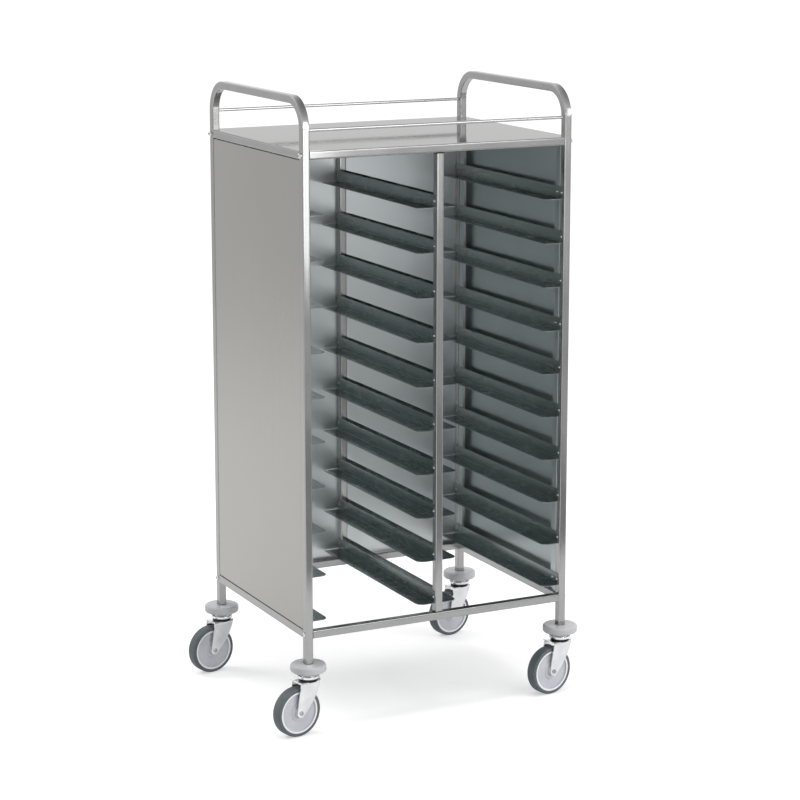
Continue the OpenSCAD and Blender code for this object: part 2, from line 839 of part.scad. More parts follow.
centred() at_castor(1, 1) castor_fork();  // rear_right_fork
centred() at_castor(-1, -1) wheel_body();  // front_left_wheel
centred() at_castor(-1, 1) wheel_body();  // front_right_wheel
centred() at_castor(1, -1) wheel_body();  // rear_left_wheel
centred() at_castor(1, 1) wheel_body();  // rear_right_wheel
centred() at_castor(-1, -1) tyre_body();  // front_left_tyre
centred() at_castor(-1, 1) tyre_body();  // front_right_tyre
centred() at_castor(1, -1) tyre_body();  // rear_left_tyre
centred() at_castor(1, 1) tyre_body();  // rear_right_tyre
centred() at_castor(-1, -1) axle_bolt();  // front_left_axle
centred() at_castor(-1, 1) axle_bolt();  // front_right_axle
centred() at_castor(1, -1) axle_bolt();  // rear_left_axle
centred() at_castor(1, 1) axle_bolt();  // rear_right_axle
centred() swivel_balls();
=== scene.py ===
# %% [markdown]
# # A meal tray cart in stainless steel
#
# The cart is a bolted frame of square steel tube with sheets on three sides, twenty tray places
# and four swivel castors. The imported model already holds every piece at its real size. This
# lesson gives each piece the surface that the eye expects: bends with a radius, rolled edges,
# ground and plated metal, moulded plastic and rubber.
#
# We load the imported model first, because every other measure comes from it.

import json
import math

import bmesh
import bpy
import numpy as np
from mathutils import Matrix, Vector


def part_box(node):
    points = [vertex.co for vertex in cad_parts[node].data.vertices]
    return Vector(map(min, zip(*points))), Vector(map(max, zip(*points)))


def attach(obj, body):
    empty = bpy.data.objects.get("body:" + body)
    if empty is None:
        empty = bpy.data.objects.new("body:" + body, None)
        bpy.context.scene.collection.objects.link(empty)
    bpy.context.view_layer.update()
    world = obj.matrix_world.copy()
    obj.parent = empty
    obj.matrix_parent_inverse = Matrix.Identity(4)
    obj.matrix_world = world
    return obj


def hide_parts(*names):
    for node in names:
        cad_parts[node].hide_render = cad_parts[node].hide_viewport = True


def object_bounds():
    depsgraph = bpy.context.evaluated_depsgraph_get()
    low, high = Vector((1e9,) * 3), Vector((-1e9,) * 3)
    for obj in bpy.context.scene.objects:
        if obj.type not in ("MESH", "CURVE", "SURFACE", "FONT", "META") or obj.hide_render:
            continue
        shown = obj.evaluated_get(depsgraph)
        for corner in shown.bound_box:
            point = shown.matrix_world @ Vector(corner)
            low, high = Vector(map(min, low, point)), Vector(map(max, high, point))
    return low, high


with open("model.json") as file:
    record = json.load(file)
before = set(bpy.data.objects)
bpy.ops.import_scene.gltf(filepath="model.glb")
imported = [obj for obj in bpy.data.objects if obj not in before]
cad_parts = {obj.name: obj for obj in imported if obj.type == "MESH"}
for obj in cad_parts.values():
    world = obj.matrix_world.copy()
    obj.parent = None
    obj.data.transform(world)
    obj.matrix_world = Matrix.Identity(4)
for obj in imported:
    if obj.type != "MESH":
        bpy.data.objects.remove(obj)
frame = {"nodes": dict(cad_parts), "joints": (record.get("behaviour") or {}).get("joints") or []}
cad_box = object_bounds()

# %% [markdown]
# ## Measures
#
# We think in millimetres, as the workshop does, and count X from the middle between the posts.
# The castors trail to one side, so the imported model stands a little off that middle. Reading
# the boxes of a few pieces gives all the main lengths, and nothing has to be typed twice.

# %% Read the main lengths
MM = 0.001


def box_mm(node):
    """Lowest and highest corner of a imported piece, in millimetres."""
    low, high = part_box(node)
    return np.array(low) / MM, np.array(high) / MM


deck_low, deck_high = box_mm("deck")
middle_x = (deck_low[0] + deck_high[0]) / 2
half_w, half_d = (deck_high[:2] - deck_low[:2]) / 2
rail_low, rail_high = box_mm("front_top_rail")
tube = rail_high[2] - rail_low[2]
tube_wall = 1.5
tube_edge_r = 2.5
post_x, post_y = half_w - tube / 2, half_d - tube / 2
inner_x, inner_y = half_w - tube, half_d - tube
hoop_low, hoop_high = box_mm("left_end_frame")
print("posts at", post_x, post_y, "tube", tube, "height", hoop_high[2])

# %% [markdown]
# ## Surfaces from arrays
#
# A surface here is a grid of points: rows one way, columns the other, and a quad between each
# four neighbours. Numpy works out all points at once. Each corner also gets two distances, in
# millimetres along the rows and along the columns, which become the UV map, so that grinding
# marks can follow a bent tube.

# %% Grid, join and move


def grid(points, close_rows=False, close_columns=False, uv=None):
    """Quads between the neighbours of a (rows, columns, 3) array of points.

    A closed direction also joins its last line to its first. uv gives a distance for each row
    and each column, and one more at the end of a closed direction.
    """
    rows, columns = points.shape[:2]
    i, j = np.meshgrid(
        np.arange(rows if close_rows else rows - 1),
        np.arange(columns if close_columns else columns - 1),
        indexing="ij",
    )
    row = np.stack([i, i + 1, i + 1, i], -1).reshape(-1, 4)
    column = np.stack([j, j, j + 1, j + 1], -1).reshape(-1, 4)
    quads = row % rows * columns + column % columns
    along, across = uv if uv else (np.arange(rows + 1.0), np.arange(columns + 1.0))
    return points.reshape(-1, 3), quads, np.stack([along[row], across[column]], -1)


def join(surfaces):
    """Several surfaces as one: each one's quads are counted on from the points before it."""
    surfaces = list(surfaces)
    counts = np.cumsum([0] + [len(s[0]) for s in surfaces[:-1]])
    return (
        np.concatenate([s[0] for s in surfaces]),
        np.concatenate([s[1] + n for s, n in zip(surfaces, counts)]),
        np.concatenate([s[2] for s in surfaces]),
    )


def moved(surface, shift=(0, 0, 0), turn=np.eye(3)):
    """The surface turned by a matrix and then shifted: p becomes turn p + shift."""
    points, quads, uv = surface
    return points @ np.array(turn, float).T + np.array(shift, float), quads, uv


def steps_along(points, closed=False):
    """Distance from the first point to each point of a line, and round to the first if closed."""
    if closed:
        points = np.concatenate([points, points[:1]])
    lengths = np.linalg.norm(np.diff(points, axis=0), axis=1)
    return np.concatenate([[0], np.cumsum(lengths)])


# %% [markdown]
# ## From grid to piece
#
# A finished piece stays at the world's origin, and its place is in its points. Points that lie
# on each other are merged first, so that seams and poles close, and an open rim gets a flat
# face. Then Blender turns all faces outwards, which it can do only on a closed shape. Edges
# sharper than a given angle stay crisp, and a narrow bevel rounds the cut edges of sheet metal,
# which never are razor sharp.

# %% Make a piece of the cart


def make_piece(name, surface, body, nodes, finish, sharp=35, bevel=0.0):
    """One Blender object from a surface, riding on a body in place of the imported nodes."""
    points, quads, uv = surface
    mesh = bpy.data.meshes.new(name)
    mesh.from_pydata(((points + [middle_x, 0, 0]) * MM).tolist(), [], quads.tolist())
    layer = mesh.uv_layers.new(name="Distances")
    layer.data.foreach_set("uv", (uv * MM).astype(np.float32).ravel())
    work = bmesh.new()
    work.from_mesh(mesh)
    bmesh.ops.remove_doubles(work, verts=work.verts, dist=1e-6)
    bmesh.ops.holes_fill(work, edges=[e for e in work.edges if e.is_boundary])
    bmesh.ops.recalc_face_normals(work, faces=work.faces)
    work.to_mesh(mesh)
    work.free()
    mesh.shade_smooth()
    mesh.set_sharp_from_angle(angle=math.radians(sharp))
    piece = bpy.data.objects.new(name, mesh)
    bpy.context.scene.collection.objects.link(piece)
    if bevel:
        modifier = piece.modifiers.new("Cut edges", "BEVEL")
        modifier.width = bevel * MM
        modifier.segments = 2
        modifier.limit_method = "ANGLE"
        modifier.angle_limit = math.radians(50)
    slot, material = finish
    mesh.materials.append(material)
    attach(piece, body)
    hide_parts(*nodes)
    print(f"{name}: {len(mesh.vertices)} points, {len(mesh.polygons)} faces")
    return piece


# %% [markdown]
# ## Lines with rounded corners
#
# Folded sheet, turned metal and moulded plastic all start from the same drawing: a line with a
# radius at each corner. The arc that touches both sides has its middle on the corner's
# bisector. Its points come from blending the two directions to the touching points, weighted
# by sines, which keeps them on the circle whichever way the corner turns.

# %% Rounded line, turned shape and hollow bar


def rounded_line(corners, radii, steps=6, closed=False):
    """A line through corners, each replaced by an arc of its radius.

    With half the corner's angle h, the arc touches the sides r / tan(h) from the corner, and
    its middle lies r / sin(h) along the bisector. An arc point at share t is the mean of the
    two spokes weighted by sin((1 - t) w) and sin(t w), over sin(w), where w = 180 degrees - 2h.
    """
    corners = np.array(corners, float)
    share = np.linspace(0, 1, steps)[:, None]
    stretches = []
    for i, (corner, radius) in enumerate(zip(corners, radii)):
        at_end = not closed and i in (0, len(corners) - 1)
        if radius == 0 or at_end:
            stretches.append(corner[None])
            continue
        back = corners[i - 1] - corner
        on = corners[(i + 1) % len(corners)] - corner
        back, on = back / np.linalg.norm(back), on / np.linalg.norm(on)
        half = math.acos(np.clip(back @ on, -1, 1)) / 2
        bisector = (back + on) / np.linalg.norm(back + on)
        centre = corner + bisector * radius / math.sin(half)
        spoke_in = corner + back * radius / math.tan(half) - centre
        spoke_out = corner + on * radius / math.tan(half) - centre
        turn = math.pi - 2 * half
        blend = np.sin((1 - share) * turn) * spoke_in + np.sin(share * turn) * spoke_out
        stretches.append(centre + blend / math.sin(turn))
    return np.concatenate(stretches)


def turned(profile, steps, closed=False):
    """A (radius, height) line turned about Z: x = r cos a, y = r sin a, z = height.

    The radius may hold one value per angle, for a shape that isn't round all the way up.
    """
    angle = np.linspace(0, 2 * math.pi, steps, endpoint=False)
    radius = np.array([np.broadcast_to(r, steps) for r, _ in profile])
    height = np.array([h for _, h in profile], float)[:, None] + 0 * angle
    points = np.stack([radius * np.cos(angle), radius * np.sin(angle), height], -1)
    along = steps_along(points[:, 0], closed)
    around = np.linspace(0, 2 * math.pi, steps + 1) * radius.max()
    return grid(points, closed, True, (along, around))


def square_ring(side, edge_r):
    """Points round a square with rounded corners: one quarter turned by 90 degrees three times."""
    corner_steps, flat_steps = 6, 4
    half = side / 2 - edge_r
    turn = np.linspace(0, math.pi / 2, corner_steps)
    corner = half + edge_r * np.stack([np.cos(turn), np.sin(turn)], -1)
    across = np.linspace(half, -half, flat_steps + 2)[1:-1]
    quarter = np.concatenate([corner, np.stack([across, np.full(flat_steps, side / 2)], -1)])
    quarters = [quarter]
    for _ in range(3):
        quarter = np.stack([-quarter[:, 1], quarter[:, 0]], -1)
        quarters.append(quarter)
    return np.concatenate(quarters)


# %% [markdown]
# ## Square tube
#
# Every bar of the frame is the same welded tube, 20 mm square with a 1.5 mm wall. We carry its
# outer and inner section along a path, and close the shell with a ring at each end, so the
# grid closes both ways like a doughnut. Where such a tube is bent, the wall on the outside of
# the bend sinks in a little, and that hollow is what draws the long dark and bright lines on
# the handles.

# %% Tube carried along a path


def carried_tube(path, across, outward, sink=0):
    """Tube along a path: point = path + a * across + b * outward, for each section point (a, b).

    On the outward face b is lowered by sink * (1 - (2 a / side)^2), a shallow trough.
    """
    shells = []
    inside = (tube - 2 * tube_wall, tube_edge_r - tube_wall / 2)
    for side, edge_r in ((tube, tube_edge_r), inside):
        a, b = square_ring(side, edge_r).T
        trough = (1 - (2 * a / side) ** 2) * (b > side / 2 - 0.01)
        b = b - np.broadcast_to(sink, len(path))[:, None] * trough
        shells.append(path[:, None] + a[:, None] * across + b[..., None] * outward[:, None])
    along = steps_along(path)
    section = steps_along(square_ring(tube, tube_edge_r), closed=True)
    rows = np.concatenate([along, along[::-1], along[:1]])
    return grid(np.concatenate([shells[0], shells[1][::-1]]), True, True, (rows, section))


def straight_tube(start, end, across):
    """Tube between two points, with two sides square to the direction across."""
    path = np.array([start, end], float)
    direction = (path[1] - path[0]) / np.linalg.norm(path[1] - path[0])
    outward = np.cross(direction, across)
    return carried_tube(path, np.array(across, float), np.tile(outward, (2, 1)))


# %% [markdown]
# ## Shader groups
#
# Three effects come back in many finishes, so each is a node group with named inputs.
#
# *Grinding* stretches noise along one direction, which is how a belt grinder leaves steel.
# *Waves* is a slow swell, because thin sheet is never quite flat and its reflections wander.
# *Specks* is a fine grain for cast plastic, rubber and plating. The groups only put out values
# that change over the surface. The shader, and every number that is the same all over, stays in
# the material.

# %% Node helpers


def link(tree, source, target):
    """Wire from an output socket to an input socket, or a plain value typed into the input."""
    if isinstance(source, bpy.types.NodeSocket):
        tree.links.new(source, target)
    else:
        target.default_value = source


def fill(tree, node, sources):
    """Give several inputs of a node their sockets or values, by name."""
    for label, source in sources.items():
        link(tree, source, node.inputs[label])


def new_group(name, inputs, outputs):
    """An empty node group with float or vector inputs and float outputs."""
    tree = bpy.data.node_groups.new(name, "ShaderNodeTree")
    for label, kind, value in inputs:
        socket = tree.interface.new_socket(label, in_out="INPUT", socket_type=kind)
        if value is not None:
            socket.default_value = value
    for label in outputs:
        tree.interface.new_socket(label, in_out="OUTPUT", socket_type="NodeSocketFloat")
    return tree, tree.nodes.new("NodeGroupInput"), tree.nodes.new("NodeGroupOutput")


def add_noise(tree, vector, detail, scale=1.0, roughness=0.5):
    """Noise texture read at a vector."""
    noise = tree.nodes.new("ShaderNodeTexNoise")
    fill(tree, noise, {"Vector": vector, "Scale": scale, "Detail": detail, "Roughness": roughness})
    return noise.outputs["Fac"]


def add_math(tree, operation, first, second):
    """Math node on two sockets or numbers."""
    node = tree.nodes.new("ShaderNodeMath")
    node.operation = operation
    for socket, source in zip(node.inputs, (first, second)):
        link(tree, source, socket)
    return node.outputs[0]


def add_vector_math(tree, operation, sources, result):
    """Vector Math node on sockets or vectors, and its output of the given name."""
    node = tree.nodes.new("ShaderNodeVectorMath")
    node.operation = operation
    for socket, source in zip(node.inputs, sources):
        link(tree, source, socket)
    return node.outputs[result]


def map_range(tree, value, low, high, at_low, at_high):
    """Value carried from one range to another, and held beyond its ends."""
    node = tree.nodes.new("ShaderNodeMapRange")
    fill(tree, node, {"Value": value, "From Min": low, "From Max": high, "To Min": at_low,
                      "To Max": at_high})
    return node.outputs["Result"]


FLOAT, VECTOR = "NodeSocketFloat", "NodeSocketVector"

# %% The three groups


def make_grinding():
    """Noise at (x * Along, y * Across, z * Across), with a slower noise that fades the marks."""
    tree, start, end = new_group(
        "Grinding",
        [("Vector", VECTOR, None), ("Stretch", VECTOR, (8, 900, 900)), ("Patches", FLOAT, 9.0)],
        ["Marks", "Smudges"],
    )
    vector, stretch = start.outputs["Vector"], start.outputs["Stretch"]
    stretched = add_vector_math(tree, "MULTIPLY", (vector, stretch), "Vector")
    marks = add_noise(tree, stretched, 4, roughness=0.65)
    patches = add_noise(tree, vector, 3, start.outputs["Patches"])
    fill(tree, end, {"Marks": marks, "Smudges": patches})
    return tree


def make_waves():
    """Two slow noises added: a broad swell and a shorter one at a third of its height."""
    tree, start, end = new_group(
        "Waves", [("Vector", VECTOR, None), ("Swells", FLOAT, 3.0)], ["Height"]
    )
    vector, swells = start.outputs["Vector"], start.outputs["Swells"]
    broad = add_noise(tree, vector, 0, swells)
    short = add_noise(tree, vector, 1, add_math(tree, "MULTIPLY", swells, 2.7))
    third = add_math(tree, "MULTIPLY", short, 0.33)
    link(tree, add_math(tree, "ADD", broad, third), end.inputs["Height"])
    return tree


def make_specks():
    """Fine noise for grain, and a coarser one for cloudy differences in tone."""
    tree, start, end = new_group(
        "Specks",
        [("Vector", VECTOR, None), ("Grain", FLOAT, 900.0), ("Clouds", FLOAT, 25.0)],
        ["Grain", "Clouds"],
    )
    for label in ("Grain", "Clouds"):
        noise = add_noise(tree, start.outputs["Vector"], 2, start.outputs[label])
        link(tree, noise, end.inputs[label])
    return tree


GRINDING, WAVES, SPECKS = make_grinding(), make_waves(), make_specks()
print("groups:", [g.name for g in bpy.data.node_groups])

# %% [markdown]
# ## Materials
#
# A material here is a Principled shader with its fixed numbers typed in, a colour that runs
# between two tones, a roughness that runs between two values, and a bump. The same masks drive
# all three, since on real metal a scratch is at once a small groove, a rougher spot and a
# slightly different tone.

# %% Shared parts of a material


def new_material(name, metallic, **fixed):
    """A material whose Principled shader has the given fixed numbers."""
    material = bpy.data.materials.new(name)
    material.use_nodes = True
    shader = material.node_tree.nodes["Principled BSDF"]
    shader.inputs["Metallic"].default_value = metallic
    for socket, value in fixed.items():
        shader.inputs[socket.replace("_", " ")].default_value = value
    return material, material.node_tree, shader


def add_group(tree, group, vector, **values):
    """A group node read at a vector, with its own input values."""
    node = tree.nodes.new("ShaderNodeGroup")
    node.node_tree = group
    fill(tree, node, {"Vector": vector, **values})
    return node


MASK_LOW, MASK_HIGH = 0.25, 0.75


def two_tones(tree, mask, dark, light, low=MASK_LOW, high=MASK_HIGH):
    """Colour from dark to light as the mask goes from low to high."""
    ramp = tree.nodes.new("ShaderNodeValToRGB")
    for stop, place, colour in zip(ramp.color_ramp.elements, (low, high), (dark, light)):
        stop.position = place
        stop.color = (*colour, 1)
    link(tree, mask, ramp.inputs["Fac"])
    return ramp.outputs["Color"]


def spread(tree, mask, low, high):
    """Value from low to high over the mask's usual range."""
    return map_range(tree, mask, MASK_LOW, MASK_HIGH, low, high)


def bump(tree, shader, layers):
    """Bump nodes in a row, one per (height, depth in millimetres)."""
    normal = None
    for height, depth in layers:
        node = tree.nodes.new("ShaderNodeBump")
        node.inputs["Distance"].default_value = depth * MM
        link(tree, height, node.inputs["Height"])
        if normal:
            link(tree, normal, node.inputs["Normal"])
        normal = node.outputs["Normal"]
    link(tree, normal, shader.inputs["Normal"])


def object_vector(tree):
    """Place in the piece, in metres."""
    return tree.nodes.new("ShaderNodeTexCoord").outputs["Object"]


def distance_vector(tree):
    """The piece's own distances along and around in metres, as its UV map."""
    node = tree.nodes.new("ShaderNodeUVMap")
    node.uv_map = "Distances"
    return node.outputs["UV"]


def mix_in(tree, mask, socket, kind, other):
    """Leave a socket's source where the mask is 0, and put another source or value where it is 1."""
    mix = tree.nodes.new("ShaderNodeMix")
    mix.data_type = kind
    link(tree, mask, mix.inputs["Factor"])
    link(tree, socket.links[0].from_socket, mix.inputs["A"])
    link(tree, other, mix.inputs["B"])
    link(tree, mix.outputs["Result"], socket)


# %% [markdown]
# ### Steel finishes
#
# The tube is ground lengthwise and polished, so its marks follow the distance along each bar.
# Such marks spread a reflection sideways, across themselves. The shader's Anisotropic value does
# this, once a Tangent node tells it which way the marks run. The sheets are ground to a satin on
# the outside and stay as rolled on the inside; on the side sheets that inside is painted darker,
# as painted shade. The runners are the same steel as bought and duller; their dark green-grey
# tone is painted shade and painted reflection of the cart's dark inside. Rods, bolts and castor
# forks are brighter: drawn, machined or zinc plated, and the rivets are painted lighter still, as
# painted highlights.

# %% Ground, rolled and plated steel


def ground_steel(name, vector, stretch, dark, light, rough, patches, waves, **fixed):
    """Steel with grinding marks, smudges that change its gloss, and slow waves in its face."""
    mark_depth = 0.005
    material, tree, shader = new_material(name, 1.0, **fixed)
    grinding = add_group(tree, GRINDING, vector(tree), Stretch=stretch, Patches=patches)
    marks, smudges = grinding.outputs["Marks"], grinding.outputs["Smudges"]
    both = add_math(tree, "ADD", add_math(tree, "MULTIPLY", marks, 0.55),
                    add_math(tree, "MULTIPLY", smudges, 0.45))
    link(tree, two_tones(tree, both, dark, light), shader.inputs["Base Color"])
    link(tree, spread(tree, both, *rough), shader.inputs["Roughness"])
    swells, depth = waves
    height = add_group(tree, WAVES, object_vector(tree), Swells=swells).outputs["Height"]
    bump(tree, shader, [(marks, mark_depth), (height, depth)])
    return material


def brushed_along(material, strength):
    """Spread reflections across the marks, which run along the first distance of the UV map."""
    tree = material.node_tree
    shader = tree.nodes["Principled BSDF"]
    shader.inputs["Anisotropic"].default_value = strength
    shader.inputs["Anisotropic Rotation"].default_value = 0.25
    tangent = tree.nodes.new("ShaderNodeTangent")
    tangent.direction_type = "UV_MAP"
    tangent.uv_map = "Distances"
    link(tree, tangent.outputs["Tangent"], shader.inputs["Tangent"])


def ground_outside(material, inner_dark, inner_light, inner_rough, inner_metal):
    """Leave the faces that look inwards as rolled: bluer, duller, with a little dull skin.

    A face looks inwards where its direction times its place, both in plan, is below zero.
    """
    tree = material.node_tree
    shader = tree.nodes["Principled BSDF"]
    normal = tree.nodes.new("ShaderNodeTexCoord").outputs["Normal"]
    flat = add_vector_math(tree, "MULTIPLY", (object_vector(tree), (1, 1, 0)), "Vector")
    outward = add_vector_math(tree, "DOT_PRODUCT", (flat, normal), "Value")
    inside = add_math(tree, "LESS_THAN", outward, 0.0)
    clouds = add_group(tree, SPECKS, object_vector(tree), Grain=300.0, Clouds=4.0).outputs["Clouds"]
    inner = two_tones(tree, clouds, inner_dark, inner_light, 0, 1)
    mix_in(tree, inside, shader.inputs["Base Color"], "RGBA", inner)
    mix_in(tree, inside, shader.inputs["Roughness"], "FLOAT", spread(tree, clouds, *inner_rough))
    metal = add_math(tree, "MULTIPLY", inside, 1.0 - inner_metal)
    link(tree, add_math(tree, "SUBTRACT", 1.0, metal), shader.inputs["Metallic"])


def plated_steel(name, dark, light, rough):
    """Plated or drawn steel: bright, faintly pitted, with cloudy differences in gloss."""
    pit_depth = 0.02
    material, tree, shader = new_material(name, 1.0)
    specks = add_group(tree, SPECKS, object_vector(tree), Grain=350.0, Clouds=30.0)
    link(tree, two_tones(tree, specks.outputs["Clouds"], dark, light), shader.inputs["Base Color"])
    link(tree, spread(tree, specks.outputs["Clouds"], *rough), shader.inputs["Roughness"])
    bump(tree, shader, [(specks.outputs["Grain"], pit_depth)])
    return material


tube_steel = ground_steel(
    "Ground tube", distance_vector, (6, 1500, 1), (0.33, 0.335, 0.33), (0.45, 0.455, 0.45),
    (0.13, 0.25), 9.0, (7.0, 0.25)
)
brushed_along(tube_steel, 0.8)
sheet_steel = []
# The side sheet is the rear sheet's steel with darker inside tones: painted shade on the inside of the
# side pans.
for name, inner_dark, inner_light in (
    ("Satin side sheet with painted shade inside", (0.47, 0.52, 0.53), (0.57, 0.62, 0.63)),
    ("Satin rear sheet", (0.62, 0.66, 0.67), (0.72, 0.76, 0.77)),
):
    material = ground_steel(name, object_vector, (900, 900, 5), (0.38, 0.375, 0.355),
                            (0.435, 0.43, 0.41), (0.20, 0.30), 2.0, (2.2, 0.7))
    brushed_along(material, 0.6)
    ground_outside(material, inner_dark, inner_light, (0.28, 0.38), 0.8)
    sheet_steel.append(material)
deck_steel = ground_steel(
    "Deck sheet", object_vector, (5, 900, 900), (0.61, 0.60, 0.595), (0.67, 0.66, 0.655),
    (0.03, 0.08), 4.0, (2.5, 0.15), Specular_Tint=(0.6, 0.6, 0.6, 1)
)
# The runners' dark green-grey tone is painted shade and painted reflection of the cart's inside.
runner_steel_painted_shade = ground_steel(
    "Runner sheet with painted shade", object_vector, (900, 7, 900), (0.265, 0.30, 0.30), (0.325, 0.36, 0.36),
    (0.20, 0.32), 12.0, (5.0, 0.12)
)
rod_steel = plated_steel("Bright rod", (0.52, 0.525, 0.525), (0.62, 0.625, 0.625), (0.12, 0.20))
bolt_steel = plated_steel("Bolt steel", (0.58, 0.58, 0.58), (0.72, 0.72, 0.71), (0.12, 0.22))
# The rivets are the bolts' steel painted lighter: a painted highlight for the bright dots on their
# heads.
rivet_steel_painted_highlight = plated_steel("Rivet steel with painted highlight", (0.74, 0.74, 0.74), (0.86, 0.86, 0.85), (0.12, 0.22))
fork_steel = plated_steel("Zinc plating", (0.72, 0.73, 0.74), (0.88, 0.89, 0.90), (0.08, 0.16))
axle_steel = plated_steel("Axle steel", (0.40, 0.41, 0.42), (0.54, 0.55, 0.56), (0.12, 0.22))
ball_steel = plated_steel("Ball steel", (0.66, 0.66, 0.67), (0.72, 0.72, 0.73), (0.08, 0.12))
black_steel_and_painted_shade = plated_steel("Blackened steel and painted shade", (0.02, 0.02, 0.025), (0.045, 0.045, 0.05), (0.4, 0.55))

# %% [markdown]
# ### Plastic and rubber
# The bumpers and wheels are moulded plastic with a faint grain from the mould. The tyres are
# grey rubber, duller, with cloudy differences in tone. The tyres are
# grey rubber, duller, and a little dusty where they have rolled.

# %% Moulded finishes


def moulded(name, dark, light, rough, grain, clouds, depth, **fixed):
    """Plastic or rubber: grain as bump and gloss, clouds for tone."""
    material, tree, shader = new_material(name, 0.0, **fixed)
    specks = add_group(tree, SPECKS, object_vector(tree), Grain=grain, Clouds=clouds)
    link(tree, two_tones(tree, specks.outputs["Clouds"], dark, light), shader.inputs["Base Color"])
    link(tree, spread(tree, specks.outputs["Grain"], *rough), shader.inputs["Roughness"])
    bump(tree, shader, [(specks.outputs["Grain"], depth)])
    return material


bumper_plastic = moulded(
    "Bumper plastic", (0.43, 0.43, 0.445), (0.50, 0.50, 0.515), (0.16, 0.26), 1400.0, 18.0, 0.015
)
wheel_plastic = moulded(
    "Wheel plastic", (0.46, 0.47, 0.51), (0.54, 0.55, 0.59), (0.24, 0.34), 1400.0, 30.0, 0.015
)
tyre_rubber = moulded(
    "Tyre rubber", (0.070, 0.088, 0.092), (0.105, 0.125, 0.128), (0.42, 0.62), 1100.0, 40.0, 0.03
)

TUBE = ("polished_tube", tube_steel)
DECK = ("deck_sheet", deck_steel)
# The side pans' material has painted shade on its inner faces.
PANEL = ("panel_sheet", sheet_steel[0])
REAR_PANEL = ("panel_sheet", sheet_steel[1])
RUNNER_PAINTED_SHADE = ("runner_sheet", runner_steel_painted_shade)
ROD = ("bright_rod", rod_steel)
BOLT = ("bright_fastener", bolt_steel)
RIVET_PAINTED_HIGHLIGHT = ("bright_fastener", rivet_steel_painted_highlight)
BUMPER = ("bumper_plastic", bumper_plastic)
PLATED = ("plated_steel", fork_steel)
# The race ring is black as painted shade for the gap under the dish; the plugs and inserts in this steel
# are black parts.
RACE_PAINTED_SHADE = ("plated_steel", black_steel_and_painted_shade)
AXLE = ("plated_steel", axle_steel)
WHEEL = ("wheel_plastic", wheel_plastic)
TYRE = ("tyre_rubber", tyre_rubber)
print("materials:", len(bpy.data.materials))

# %% [markdown]
# ## End frames
#
# One long tube makes two legs, two posts and the handle between them. A curve object with a
# bevel profile could do it, but it twists a square section in the bends and gives no control
# of the wall. Here the path is two lines and two quarter circles, each with the direction that
# faces out of the hoop, so the section keeps its sides true.

# %% Hoops
bend_r = 70
bend_sink = 1.1


def hoop(side):
    """Up the front leg, round, along the handle, round and down: y = ±(c + r cos t), z = s + r sin t."""
    turn = np.linspace(0, math.pi / 2, 25)
    flat = post_y - bend_r
    bend_start = hoop_high[2] - tube / 2 - bend_r
    front = np.stack([-flat - bend_r * np.cos(turn), bend_start + bend_r * np.sin(turn)], -1)
    facing = np.stack([-np.cos(turn), np.sin(turn)], -1)
    foot = [[-post_y, hoop_low[2]]]
    line = np.concatenate([foot, front])
    faces = np.concatenate([[[-1, 0]], facing])
    line = np.concatenate([line, line[::-1] * [-1, 1]])
    faces = np.concatenate([faces, faces[::-1] * [-1, 1]])
    sink = bend_sink * np.concatenate([[0], 1 - (4 * turn / math.pi - 1) ** 4])
    across = np.zeros((len(line), 1))
    path = np.concatenate([across + side * post_x, line], 1)
    outward = np.concatenate([across, faces], 1)
    return carried_tube(path, np.array([1.0, 0, 0]), outward, np.concatenate([sink, sink[::-1]]))


for side, name in ((-1, "left"), (1, "right")):
    make_piece(f"{name}_hoop", hoop(side), "cart", [f"{name}_end_frame"], TUBE)

# %% [markdown]
# ## Rails and middle posts
#
# The straight bars come from the same tube. Each one's height or place is read from the packed
# piece that it stands for, so only its direction is said here.

# %% Straight bars


def bar_between(node, axis):
    """Tube along one axis (0, 1 or 2) that fills a packed bar's box."""
    low, high = box_mm(node)
    low[0] -= middle_x
    high[0] -= middle_x
    start = (low + high) / 2
    end = start.copy()
    start[axis], end[axis] = low[axis], high[axis]
    across = np.eye(3)[(axis + 1) % 3]
    return straight_tube(start, end, across)


for place in ("front", "rear"):
    for height in ("top", "bottom"):
        node = f"{place}_{height}_rail"
        make_piece(node.replace("rail", "bar"), bar_between(node, 0), "cart", [node], TUBE)
    make_piece(f"{place}_centre_bar", bar_between(f"{place}_middle_post", 2), "cart",
               [f"{place}_middle_post"], TUBE)
for side in ("left", "right"):
    for height in ("top", "bottom"):
        node = f"{side}_{height}_rail"
        make_piece(node.replace("rail", "bar"), bar_between(node, 1), "cart", [node], TUBE)

# %% [markdown]
# ## Sheet metal
#
# Folded sheet is the same idea every time: a surface that faces out, one that faces in a
# sheet's thickness behind it, and narrow strips that close the cut edges. Both surfaces have
# the same rows and columns, so the strips follow by themselves. A Solidify modifier could add
# the thickness, but it would not keep the folds' inner and outer radii apart.

# %% Sheet with a thickness


def sheet(outer, inner):
    """Closed shell from two (rows, columns, 3) surfaces: rows run over one and back over the
    other, and the two end columns are closed by a strip of quads."""
    around = np.concatenate([outer, inner[::-1]])
    shell = grid(around, close_rows=True, uv=(
        steps_along(around[:, 0], closed=True), steps_along(around[0])))
    ends = [grid(np.stack([outer[:, c], inner[:, c]], 1)) for c in (0, -1)]
    return join([shell, *ends])


def folded(outer_line, inner_line, start, end, axes):
    """Sheet whose (p, q) section is carried along a third direction from start to end, where
    start and end may change along the section. axes says where p, q and that direction go."""
    sides = []
    for line in (outer_line, inner_line):
        points = np.zeros((2, len(line), 3))
        points[:, :, axes[0]] = line[:, 0]
        points[:, :, axes[1]] = line[:, 1]
        points[0, :, axes[2]] = start
        points[1, :, axes[2]] = end
        sides.append(points)
    return sheet(*sides)


